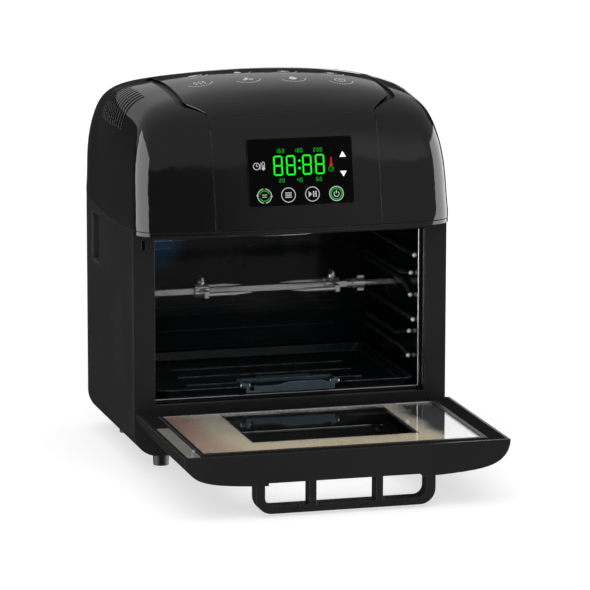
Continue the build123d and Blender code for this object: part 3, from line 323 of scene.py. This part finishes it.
def pane(name, tint, a, b):
    """Float glass with faint wipe marks."""
    t = Tree(name)
    marks = t.noise(18.0, 6.0, 0.7, t.scaled((1.0, 4.0, 1.0)))
    t.color(t.mix(t.remap(marks, 0.35, 0.7, 0.0, 1.0), tint, tuple(c * 0.93 for c in tint)))
    t.rough(t.remap(marks, 0.4, 0.75, a, b))
    t.bump(t.noise(12.0, 2.0, 0.5), 0.03, 0.00005)
    t.set(Transmission_Weight=1.0, IOR=1.5)
    return t.mat


def board():
    """Circuit laminate: green resist with copper tracks showing through."""
    t = Tree("circuit_board")
    normal, mask = t.edges(0.0004, 3.0)
    tracks = t.add("ShaderNodeTexBrick")
    tracks.inputs["Scale"].default_value = 160.0
    tracks.inputs["Mortar Size"].default_value = 0.05
    tracks.inputs["Color1"].default_value = (0.010, 0.075, 0.030, 1)
    tracks.inputs["Color2"].default_value = (0.012, 0.090, 0.036, 1)
    tracks.inputs["Mortar"].default_value = (0.045, 0.16, 0.060, 1)
    t.link(t.coord, tracks.inputs["Vector"])
    t.color(t.mix(t.math("MULTIPLY", mask, 0.6), tracks.outputs["Color"], (0.30, 0.26, 0.12)))
    t.rough(t.remap(t.noise(120.0), 0.3, 0.7, 0.28, 0.42))
    t.bump(tracks.outputs["Fac"], 0.2, 0.00003, normal)
    return t.mat


def print_ink(name, a, b, glow):
    """Printed or lit mark on the glass, with a slightly uneven fill."""
    t = Tree(name)
    fill = t.noise(700.0, 3.0, 0.6)
    col = t.mix(t.remap(fill, 0.3, 0.7, 0.0, 1.0), a, b)
    t.color(col)
    t.rough(t.remap(fill, 0.3, 0.7, 0.42, 0.55))
    if glow > 0.0:
        t.link(col, t.bsdf.inputs["Emission Color"])
        t.set(Emission_Strength=glow)
    t.set(Specular_IOR_Level=0.2)
    return t.mat


ENAMEL = enamelled()
RAIL = rail_enamel()
TRAY = tray_coat("tray_nonstick", (0.0042, 0.0055, 0.0070), (0.0066, 0.0085, 0.0105), 0.32)
BAIL = tray_coat("bail_nonstick", (0.022, 0.044, 0.055), (0.034, 0.062, 0.077), 0.5)
SCREEN = black_glass()
INNER_PANE = pane("inner_pane", (0.96, 0.975, 0.965), 0.0, 0.012)
OUTER_PANE = pane("outer_pane", (0.80, 0.83, 0.81), 0.0, 0.02)
BOARD = board()
GREEN = print_ink("lit_green", (0.0, 0.56, 0.004), (0.0, 0.70, 0.006), 0.85)
GREEN_DIM = print_ink("lit_green_dim", (0.0, 0.20, 0.005), (0.0, 0.26, 0.008), 0.75)
RED = print_ink("lit_red", (0.46, 0.002, 0.001), (0.58, 0.004, 0.002), 0.55)
WHITE = print_ink("lit_white", (0.74, 0.74, 0.74), (0.86, 0.86, 0.86), 0.50)
GREY = print_ink("lit_grey", (0.34, 0.34, 0.34), (0.42, 0.42, 0.42), 0.40)
LID_INK = print_ink("lid_ink", (0.44, 0.44, 0.44), (0.60, 0.60, 0.60), 0.0)

FINISH = {
    GLOSS: ["top_cover", "top_lid", "control_fascia"],
    LIP: ["bay_floor"],
    SATIN: ["side_panel_left", "side_panel_right", "front_frame", "rear_vent", "back_panel", "base_pan",
            "cord_inlet", "door_switch"],
    INSIDE: ["door_inner_frame"],
    EDGED: ["glass_retainer"],
    CUP: ["grip_cups"],
    DOOR: ["door_outer_shell", "door_handle"],
    GROOVE: ["lid_subframe"],
    SCREEN: ["display_glass"],
    BOARD: ["control_board", "power_board"],
    RUBBER: ["feet"],
    ZINC: ["case_screws", "hinge_brackets", "hinge_pins", "door_hinge_blocks", "handle_screws", "fan_motor",
           "rotisserie_motor", "heat_shroud"],
    ENAMEL: ["liner_left", "liner_right", "liner_back", "liner_floor", "liner_ceiling", "cavity_flange"],
    RAIL: ["rack_rails_left", "rack_rails_right"],
    BRIGHT: ["cavity_trim", "window_trim", "tray_rivets"],
    PLATE_PAINTED_REFLECTION: ["window_mask"],
    PLATE: ["latch_tongue"],
    STAINLESS: ["spit_rod", "spit_fork_left", "spit_fork_right", "thumb_screw_left", "thumb_screw_right", "drive_socket",
                "spit_bearing", "fan_guard", "temperature_probe", "fan_shaft"],
    TUBE: ["heating_element"],
    TRAY: ["drip_tray"],
    BAIL: ["tray_handle"],
    FAN_ALU: ["convection_fan"],
    FAN_PLASTIC: ["cooling_fan"],
    INNER_PANE: ["door_inner_glass"],
    OUTER_PANE: ["door_outer_glass"],
}
for mat, names in FINISH.items():
    for n in names:
        mesh = NODES[n].data
        mesh.materials.clear()
        mesh.materials.append(mat)
# cooling slots, with a stronger painted highlight along their edges
cover = NODES["top_cover"].data
cover.materials.append(VENT_PAINTED_HIGHLIGHT)
for f in cover.polygons:
    if abs(f.center.x) > 0.100 and f.center.z > 0.262 and f.center.y > 0.0:
        f.material_index = 1
pan = NODES["drip_tray"].data
pan.materials.append(BAIL)
for f in pan.polygons:
    if f.center.y < (2.6 + Y_SHIFT) * MM:
        f.material_index = 1
# bright rear bar of the glass retainer
hold = NODES["glass_retainer"].data
hold.materials.append(RETAIN)
for f in hold.polygons:
    if f.center.y > (-32.6 + Y_SHIFT) * MM:
        f.material_index = 1
# rail tips, made pale and part metallic: a painted highlight on their front ends
for side, back in (("left", 18.0), ("right", 0.0)):
    rods = NODES["rack_rails_" + side].data
    rods.materials.append(TIP_PAINTED_HIGHLIGHT)
    for f in rods.polygons:
        for y, z in ((19.0, 194.5), (29.5, 175.2), (31.5, 153.0), (22.0, 130.2), (34.0, 116.6), (37.0, 91.6)):
            if abs(f.center.z - z * MM) < 0.0035 and f.center.y < (y + back - 0.4 + Y_SHIFT) * MM:
                f.material_index = 1
# panes let light through to what lies under them
for n in ("door_inner_glass", "door_outer_glass"):
    NODES[n].visible_shadow = False
    NODES[n].visible_diffuse = False
plain = sorted(set(NODES) - {n for ns in FINISH.values() for n in ns})
assert not plain, plain


# ---------------------------------------------------------------------------
# Flat marks, drawn in millimetres as convex polygons
# ---------------------------------------------------------------------------
def bar(x0, y0, x1, y1, w):
    dx, dy = x1 - x0, y1 - y0
    n = math.hypot(dx, dy)
    px, py = -dy / n * w / 2, dx / n * w / 2
    return [[(x0 - px, y0 - py), (x1 - px, y1 - py), (x1 + px, y1 + py), (x0 + px, y0 + py)]]


def disc(cx, cy, r, n=28):
    return [[(cx + r * math.cos(2 * math.pi * k / n), cy + r * math.sin(2 * math.pi * k / n)) for k in range(n)]]


def arc(cx, cy, r, w, a0=0.0, a1=360.0, n=None):
    n = n or max(6, int(abs(a1 - a0) / 9))
    out = []
    for k in range(n):
        a, b = (math.radians(a0 + (a1 - a0) * (k + i) / n) for i in (0, 1))
        out.append([(cx + (r - w / 2) * math.cos(a), cy + (r - w / 2) * math.sin(a)),
                    (cx + (r + w / 2) * math.cos(a), cy + (r + w / 2) * math.sin(a)),
                    (cx + (r + w / 2) * math.cos(b), cy + (r + w / 2) * math.sin(b)),
                    (cx + (r - w / 2) * math.cos(b), cy + (r - w / 2) * math.sin(b))])
    return out


def chain(points, w):
    out = []
    for a, b in zip(points, points[1:]):
        out += bar(*a, *b, w)
    for p in points[1:-1]:
        out += disc(*p, w / 2, 10)
    return out


def turned(polys, cx, cy, deg, k=1.0):
    c, s = math.cos(math.radians(deg)) * k, math.sin(math.radians(deg)) * k
    return [[(cx + x * c - y * s, cy + x * s + y * c) for x, y in p] for p in polys]


SEGMENTS = {"0": "abcdef", "1": "bc", "2": "abged", "3": "abgcd", "4": "fgbc", "5": "afgcd", "6": "afgedc", "7": "abc",
            "8": "abcdefg", "9": "abcfgd"}


def segment_digit(ch, x0, y0, w, h, t, gap):
    """A seven-segment figure with its lower left corner at x0, y0."""
    q = t / 2
    x1, ym, y1 = x0 + w, y0 + h / 2, y0 + h

    def flat(y):
        return [(x0 + q + gap, y), (x0 + t + gap, y + q), (x1 - t - gap, y + q), (x1 - q - gap, y), (x1 - t - gap, y - q),
                (x0 + t + gap, y - q)]

    def tall(x, lo, hi):
        return [(x, lo + gap), (x + q, lo + q + gap), (x + q, hi - q - gap), (x, hi - gap), (x - q, hi - q - gap),
                (x - q, lo + q + gap)]

    shapes = {"a": flat(y1 - q), "d": flat(y0 + q), "g": flat(ym), "f": tall(x0 + q, ym, y1 - q), "b": tall(x1 - q, ym, y1 - q),
              "e": tall(x0 + q, y0 + q, ym), "c": tall(x1 - q, y0 + q, ym)}
    return [shapes[s] for s in SEGMENTS[ch]]


def number(text, cx, cy, h, t):
    w, step = h * 0.56, h * 0.56 + t * 1.5
    x = cx - (len(text) * step - t * 1.5) / 2
    out = []
    for ch in text:
        out += segment_digit(ch, x, cy - h / 2, w, h, t, t * 0.12)
        x += step
    return out


def decal(name, polys, place, thick, mat, body):
    """Thin closed prisms, one for each polygon, set on a surface by place(x, y) -> (point, normal)."""
    bm = bmesh.new()
    for p in polys:
        area = sum(a[0] * b[1] - b[0] * a[1] for a, b in zip(p, p[1:] + p[:1]))
        if area < 0:
            p = p[::-1]
        low, high = [], []
        for x, y in p:
            point, normal = place(x, y)
            low.append(bm.verts.new(point - normal * 0.00002))
            high.append(bm.verts.new(point + normal * thick))
        bm.faces.new(high)
        bm.faces.new(low[::-1])
        for i in range(len(p)):
            j = (i + 1) % len(p)
            bm.faces.new((low[i], low[j], high[j], high[i]))
    mesh = bpy.data.meshes.new(name)
    bm.to_mesh(mesh)
    bm.free()
    mesh.materials.append(mat)
    o = bpy.data.objects.new(name, mesh)
    SCENE.collection.objects.link(o)
    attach(o, body)
    return o


# ---------------------------------------------------------------------------
# Display
# ---------------------------------------------------------------------------
LEAN = 0.21
GLASS_N = Vector((0, -1, LEAN)).normalized()
GLASS_V = Vector((0, LEAN, 1)).normalized()
GLASS_O = Vector((0, (-22.6 + Y_SHIFT) * MM, 288.4 * MM)) + GLASS_N * 0.0007


def on_glass(x, y):
    return GLASS_O + Vector((x * MM, 0, 0)) + GLASS_V * (y * MM), GLASS_N


digits = []
for x0 in (-23.7, -11.25, 4.65, 17.2):
    digits += segment_digit("8", x0, -3.6, 9.1, 19.0, 1.45, 0.12)
digits += disc(1.8, 9.9, 1.15) + disc(1.6, 2.9, 1.15)
decal("display_digits", digits, on_glass, 0.00006, GREEN, "housing")

small = []
for text, x, y in (("160", -17.0, 19.8), ("180", 1.1, 19.7), ("200", 20.2, 19.7), ("20", -16.1, -8.2), ("40", 1.5, -8.3), ("60", 20.2, -8.2)):
    small += number(text, x, y, 4.0, 0.62)
small += arc(32.5, 1.2, 2.35, 0.55) + bar(32.5, 1.2, 32.5, 2.6, 0.5) + bar(32.5, 1.2, 33.6, 1.2, 0.5)
small += arc(-33.9, -22.1, 4.9, 1.0, 20, 160) + arc(-33.9, -22.1, 4.9, 1.0, 200, 340)
small += arc(36.6, -22.6, 5.2, 1.1)
decal("display_small_figures", small, on_glass, 0.00006, GREEN_DIM, "housing")

hot = bar(33.0, 6.0, 33.0, 11.6, 1.3) + disc(33.0, 11.6, 0.65, 12) + disc(32.8, 5.4, 1.5)
decal("display_heat_mark", hot, on_glass, 0.00006, RED, "housing")

marks = [[(41.3, 11.9), (47.8, 11.9), (44.55, 17.3)], [(41.3, -1.4), (44.55, -6.8), (47.8, -1.4)]]
decal("display_arrows", marks, on_glass, 0.00006, WHITE, "housing")
# clock and thermometer
marks = arc(-40.2, 6.1, 3.1, 0.75) + bar(-40.2, 6.1, -40.2, 8.0, 0.7) + bar(-40.2, 6.1, -38.7, 6.1, 0.7)
marks += bar(-36.9, 3.0, -35.6, 9.4, 0.55)
marks += disc(-33.6, 3.9, 1.6) + arc(-33.6, 8.9, 1.15, 0.6, 0, 180) + bar(-34.75, 4.5, -34.75, 8.9, 0.6) + bar(-32.45, 4.5, -32.45, 8.9, 0.6)
marks += bar(-33.6, 4.2, -33.6, 7.2, 0.8)
# four keys
RING_R, RING_W = 6.75, 0.75
for cx, cy in ((-10.5, -22.05), (13.0, -22.1), (36.6, -22.6)):
    marks += arc(cx, cy, RING_R, RING_W)
marks += arc(-33.9, -22.1, RING_R, RING_W, 8, 82) + arc(-33.9, -22.1, RING_R, RING_W, 98, 172)
marks += arc(-33.9, -22.1, RING_R, RING_W, 188, 262) + arc(-33.9, -22.1, RING_R, RING_W, 278, 352)
for a in (172, 352):
    r = math.radians(a)
    marks += turned([[(-1.3, 0.0), (1.3, 0.0), (0.0, 2.2)]], -33.9 + RING_R * math.cos(r), -22.1 + RING_R * math.sin(r), a)
for y in (-24.1, -22.1, -20.1):
    marks += bar(-13.7, y, -7.3, y, 0.95)
for y in (-23.1, -21.1):
    marks += bar(-36.2, y, -31.6, y, 0.7)
marks += [[(9.3, -25.0), (12.6, -22.1), (9.3, -19.2)]] + bar(14.2, -24.9, 14.2, -19.3, 1.15) + bar(16.5, -24.9, 16.5, -19.3, 1.15)
marks += arc(36.6, -22.9, 2.5, 0.8, 125, 415) + bar(36.6, -22.4, 36.6, -19.0, 0.85)
decal("display_key_marks", marks, on_glass, 0.00006, GREY, "housing")

# ---------------------------------------------------------------------------
# Pictograms on the lid
# ---------------------------------------------------------------------------
lid = NODES["top_lid"].data
LID_TREE = BVHTree.FromPolygons([v.co.copy() for v in lid.vertices], [tuple(p.vertices) for p in lid.polygons])


def on_lid(x, y):
    hit, normal, _, _ = LID_TREE.ray_cast(Vector((x * MM, (y + Y_SHIFT) * MM, 0.6)), Vector((0, 0, -1)))
    return hit, (normal if normal.z > 0 else -normal)


def waves():
    out = []
    for k in (-5.0, 0.0, 5.0):
        out += chain([(k + 1.5 * math.sin(i / 8 * 2 * math.pi), -6.5 + 13.0 * i / 12) for i in range(13)], 1.3)
    return out


def fan():
    out = disc(0, 0, 1.5, 14)
    for a in (90, 210, 330):
        out += turned([[(0.6, 0.2), (3.2, -1.6), (6.4, -1.2), (7.4, 1.0), (5.6, 2.8), (2.6, 2.3)]], 0, 0, a)
    return out


def flame():
    side = [(0.0, 8.0), (1.0, 5.6), (3.4, 2.6), (4.9, -0.6), (4.4, -3.8), (2.4, -6.3), (0.0, -7.0)]
    out = []
    for (xa, ya), (xb, yb) in zip(side, side[1:]):
        quad = [(-xa, ya), (xa, ya), (xb, yb), (-xb, yb)]
        keep = []
        for p in quad:
            if p not in keep:
                keep.append(p)
        out.append(keep)
    return out


def clock():
    return arc(0, 0, 6.2, 1.2) + bar(0, 0, 0, 4.2, 1.1) + bar(0, 0, 3.0, 0, 1.1)


def fish():
    body = [(7.0 * math.cos(2 * math.pi * k / 24) - 1.0, 3.4 * math.sin(2 * math.pi * k / 24)) for k in range(24)]
    return [body, [(5.0, 0.0), (9.0, -3.4), (9.0, 3.4)]]


def drop():
    side = [(0.0, 7.5), (1.2, 4.6), (3.4, 1.2), (4.3, -1.8), (3.6, -4.6), (1.6, -6.3), (0.0, -6.6)]
    out = []
    for (xa, ya), (xb, yb) in zip(side, side[1:]):
        keep = []
        for p in [(-xa, ya), (xa, ya), (xb, yb), (-xb, yb)]:
            if p not in keep:
                keep.append(p)
        out.append(keep)
    return out


def rays():
    out = disc(0, 0, 3.0)
    for a in range(0, 360, 45):
        out += turned(bar(4.4, 0, 7.4, 0, 1.2), 0, 0, a)
    return out


def spit():
    return bar(-8.5, 0, 8.5, 0, 1.0) + [[(4.6 * math.cos(2 * math.pi * k / 24), 3.3 * math.sin(2 * math.pi * k / 24)) for k in range(24)]]


pict = []
ROWS = ((waves, fan, flame, clock), (fish, drop, rays, spit))
PLACES = (((-74.0, 64.0), (-28.0, 57.5), (16.0, 54.0), (62.0, 49.5)), ((-69.0, 103.0), (-28.0, 97.0), (16.8, 91.0), (62.0, 83.0)))
for row, places in zip(ROWS, PLACES):
    for draw, (x, y) in zip(row, places):
        pict += turned(draw(), x, y + 1.0, 0.0, 0.82)
        for a in range(-158, -12, 12):
            pict += arc(x, y + 0.5, 12.4, 1.3, a, a + 6.5, 2)
decal("lid_pictograms", pict, on_lid, 0.00006, LID_INK, "housing")

# ---------------------------------------------------------------------------
# Stage, light and camera
# ---------------------------------------------------------------------------


def plane(name, centre, u, v):
    """A rectangle with half sides u and v."""
    mesh = bpy.data.meshes.new(name)
    c, u, v = Vector(centre), Vector(u), Vector(v)
    mesh.from_pydata([c - u - v, c + u - v, c + u + v, c - u + v], [], [(0, 1, 2, 3)])
    o = bpy.data.objects.new(name, mesh)
    SCENE.collection.objects.link(o)
    return o


floor = plane("floor", (0, 0, -0.0004), (14, 0, 0), (0, 14, 0))
ft = Tree("pale_floor")
ft.color(ft.mix(ft.remap(ft.noise(3.0, 3.0, 0.5), 0.3, 0.7, 0.0, 1.0), (0.36, 0.36, 0.36), (0.38, 0.38, 0.38)))
ft.rough(ft.remap(ft.noise(5.0), 0.3, 0.7, 0.8, 0.9))
ft.set(Specular_IOR_Level=0.0, Emission_Color=(1, 1, 1, 1), Emission_Strength=0.665)
floor.data.materials.append(ft.mat)
floor.visible_glossy = False


def card(name, centre, u, v, strength, color=(1, 1, 1)):
    """A light card that only reflections see."""
    o = plane(name, centre, u, v)
    m = bpy.data.materials.new(name)
    m.use_nodes = True
    nt = m.node_tree
    nt.nodes.clear()
    out = nt.nodes.new("ShaderNodeOutputMaterial")
    em = nt.nodes.new("ShaderNodeEmission")
    em.inputs["Color"].default_value = (*color, 1)
    em.inputs["Strength"].default_value = strength
    nt.links.new(em.outputs[0], out.inputs["Surface"])
    o.data.materials.append(m)
    o.visible_camera = False
    o.visible_diffuse = False
    o.visible_transmission = False
    o.visible_shadow = False
    return o


def around(azimuth, distance, z):
    """A point round the oven: azimuth 0 is in front, 90 on its right."""
    a = math.radians(azimuth)
    return Vector((distance * math.sin(a), -distance * math.cos(a), z))


def strip(name, azimuth, distance, z0, z1, half, strength):
    a = math.radians(azimuth)
    return card(name, around(azimuth, distance, 0.5 * (z0 + z1)), Vector((math.cos(a), math.sin(a), 0)) * half,
                Vector((0, 0, 0.5 * (z1 - z0))), strength)


strip("card_left", -89, 2.4, -1.3, 1.72, 1.72, 3.9)
right_card = strip("card_right", 96, 2.4, -1.3, 1.05, 2.35, 4.4)
along = Vector((math.cos(math.radians(96)), math.sin(math.radians(96)), 0))
for vert, (slide, z) in zip(right_card.data.vertices, ((-3.1, -1.3), (1.2, -1.3), (1.2, 0.8), (-1.3, 1.36))):
    vert.co = around(96, 2.4, z) + along * slide
behind = card("card_behind", (0.955, 1.42, 0.30), (0.645, 0, 0), (0, 0.975, 0), 1.15)
behind.visible_transmission = True

world = bpy.data.worlds.new("studio")
SCENE.world = world
world.use_nodes = True
wt = world.node_tree
wt.nodes.clear()


def wmath(op, a, b=0.0, c=0.0):
    n = wt.nodes.new("ShaderNodeMath")
    n.operation = op
    for i, v in enumerate((a, b, c)):
        if isinstance(v, (int, float)):
            n.inputs[i].default_value = v
        else:
            wt.links.new(v, n.inputs[i])
    return n.outputs[0]


def wstep(value, lo, hi, c=0.0, d=1.0):
    n = wt.nodes.new("ShaderNodeMapRange")
    n.interpolation_type = "SMOOTHSTEP"
    for k, v in (("From Min", lo), ("From Max", hi), ("To Min", c), ("To Max", d)):
        if isinstance(v, (int, float)):
            n.inputs[k].default_value = v
        else:
            wt.links.new(v, n.inputs[k])
    wt.links.new(value, n.inputs["Value"])
    return n.outputs["Result"]


w_sep = wt.nodes.new("ShaderNodeSeparateXYZ")
wt.links.new(wt.nodes.new("ShaderNodeTexCoord").outputs["Generated"], w_sep.inputs[0])
W_AZ = wmath("MULTIPLY", wmath("ARCTAN2", w_sep.outputs["X"], wmath("MULTIPLY", w_sep.outputs["Y"], -1.0)), 180 / math.pi)
W_EL = wmath("MULTIPLY", wmath("ARCSINE", w_sep.outputs["Z"]), 180 / math.pi)

# the height of the bright dome's lower edge round the set, in degrees
ramp = wt.nodes.new("ShaderNodeValToRGB").color_ramp
RING = ((-180, 8), (-120, 10), (-60, 20), (-5, 22), (2, 19.9), (5.4, 18.4), (7, 17.9), (12, 14.65), (18, 14.15), (21, 15.5), (24, 16.5), (39, 18.4), (60, 17), (120, 10), (180, 8))
ramp.elements[0].position, ramp.elements[1].position = 0.0, 1.0
for k, (deg, el) in enumerate(RING):
    pos = (deg + 180) / 360
    e = ramp.elements[0] if k == 0 else (ramp.elements[-1] if k == len(RING) - 1 else ramp.elements.new(pos))
    e.color = (el / 50, el / 50, el / 50, 1)
w_ramp = [n for n in wt.nodes if n.bl_idname == "ShaderNodeValToRGB"][0]
wt.links.new(wmath("MULTIPLY_ADD", W_AZ, 1 / 360, 0.5), w_ramp.inputs["Fac"])
W_RING = wmath("MULTIPLY", w_ramp.outputs["Color"], 50.0)

W_OVER = wmath("SUBTRACT", W_EL, W_RING)
W_RIGHT = wmath("MULTIPLY", wstep(W_AZ, 10.0, 20.0, 0.0, 0.30), wstep(W_AZ, 45.0, 60.0, 1.0, 0.0))
W_HIGH = wmath(
    "ADD",
    wstep(w_sep.outputs["Y"], -0.5, 0.5, 0.36, 0.54),
    wmath("MULTIPLY", W_RIGHT, wstep(W_OVER, 0.0, 16.0, 1.0, 0.0)),
)
W_LOW = wmath("MULTIPLY", wstep(W_AZ, 7.0, 19.5, 0.045, 0.32), wstep(W_AZ, 60.0, 95.0, 1.0, 0.12))
W_UP = wstep(W_OVER, -0.08, 0.08)
W_SUM = wmath("ADD", wmath("MULTIPLY", W_HIGH, W_UP), wmath("MULTIPLY", W_LOW, wmath("SUBTRACT", 1.0, W_UP)))
W_RIM = wmath("MULTIPLY", wstep(W_AZ, 110.0, 120.0), wstep(W_AZ, 144.0, 152.0, 1.0, 0.0))
W_RIM = wmath("MULTIPLY", W_RIM, wstep(W_EL, 18.0, 28.0, 1.0, 0.0))
W_ALL = wmath("MULTIPLY", W_SUM, wmath("MULTIPLY_ADD", W_RIM, -0.92, 1.0))
w_bg = wt.nodes.new("ShaderNodeBackground")
w_bg.inputs["Color"].default_value = (1, 1, 1, 1)
wt.links.new(W_ALL, w_bg.inputs["Strength"])
wt.links.new(w_bg.outputs[0], wt.nodes.new("ShaderNodeOutputWorld").inputs["Surface"])


def area(name, loc, target, size, power, glossy=False, color=(1, 1, 1)):
    l = bpy.data.lights.new(name, "AREA")
    l.shape = "RECTANGLE"
    l.size, l.size_y = size
    l.energy = power
    l.color = color
    o = bpy.data.objects.new(name, l)
    SCENE.collection.objects.link(o)
    o.location = loc
    o.rotation_mode = "QUATERNION"
    o.rotation_quaternion = (Vector(target) - Vector(loc)).to_track_quat("-Z", "Y")
    o.visible_glossy = glossy
    o.visible_camera = False
    return o


sun = bpy.data.lights.new("overhead", "SUN")
sun.energy = 2.1
sun.angle = math.radians(80)
sun_o = bpy.data.objects.new("overhead", sun)
SCENE.collection.objects.link(sun_o)
sun_o.rotation_euler = (math.radians(8), math.radians(-4), 0)
sun_o.visible_glossy = False
area("front_fill", (-0.6, -2.6, 1.0), (0, 0, 0.16), (1.8, 1.4), 15.0)
glow = bpy.data.lights.new("cavity_glow", "SPOT")
glow.energy = 4.2
glow.color = (0.36, 0.72, 1.0)
glow.spot_size = math.radians(38)
glow.spot_blend = 1.0
glow.shadow_soft_size = 0.006
glow_o = bpy.data.objects.new("cavity_glow", glow)
SCENE.collection.objects.link(glow_o)
glow_o.location = (-0.070, 0.060, 0.2130)
glow_o.rotation_mode = "QUATERNION"
glow_o.rotation_quaternion = (Vector((-0.092, 0.176, 0.1930)) - glow_o.location).to_track_quat("-Z", "Y")
glow_o.visible_glossy = False

cam_data = bpy.data.cameras.new("camera")
cam = bpy.data.objects.new("camera", cam_data)
SCENE.collection.objects.link(cam)
cam_data.sensor_width = 36.0
cam_data.lens = 246.71
cam_data.clip_start, cam_data.clip_end = 0.05, 100.0
YAW, PITCH, ROLL = 0.26968, 0.19289, 0.00196
fwd = Vector((math.sin(YAW) * math.cos(PITCH), math.cos(YAW) * math.cos(PITCH), -math.sin(PITCH)))
right = Vector((math.cos(YAW), -math.sin(YAW), 0))
upv = right.cross(fwd)
r2 = right * math.cos(ROLL) + upv * math.sin(ROLL)
u2 = upv * math.cos(ROLL) - right * math.sin(ROLL)
m = Matrix((r2, u2, -fwd)).transposed().to_4x4()
m.translation = Vector((-1.00721, -3.67091, 0.90595))
cam.matrix_world = m
SCENE.camera = cam

SCENE.view_settings.view_transform = "Standard"
SCENE.view_settings.look = "None"
SCENE.view_settings.exposure = 0.0
SCENE.view_settings.gamma = 1.0
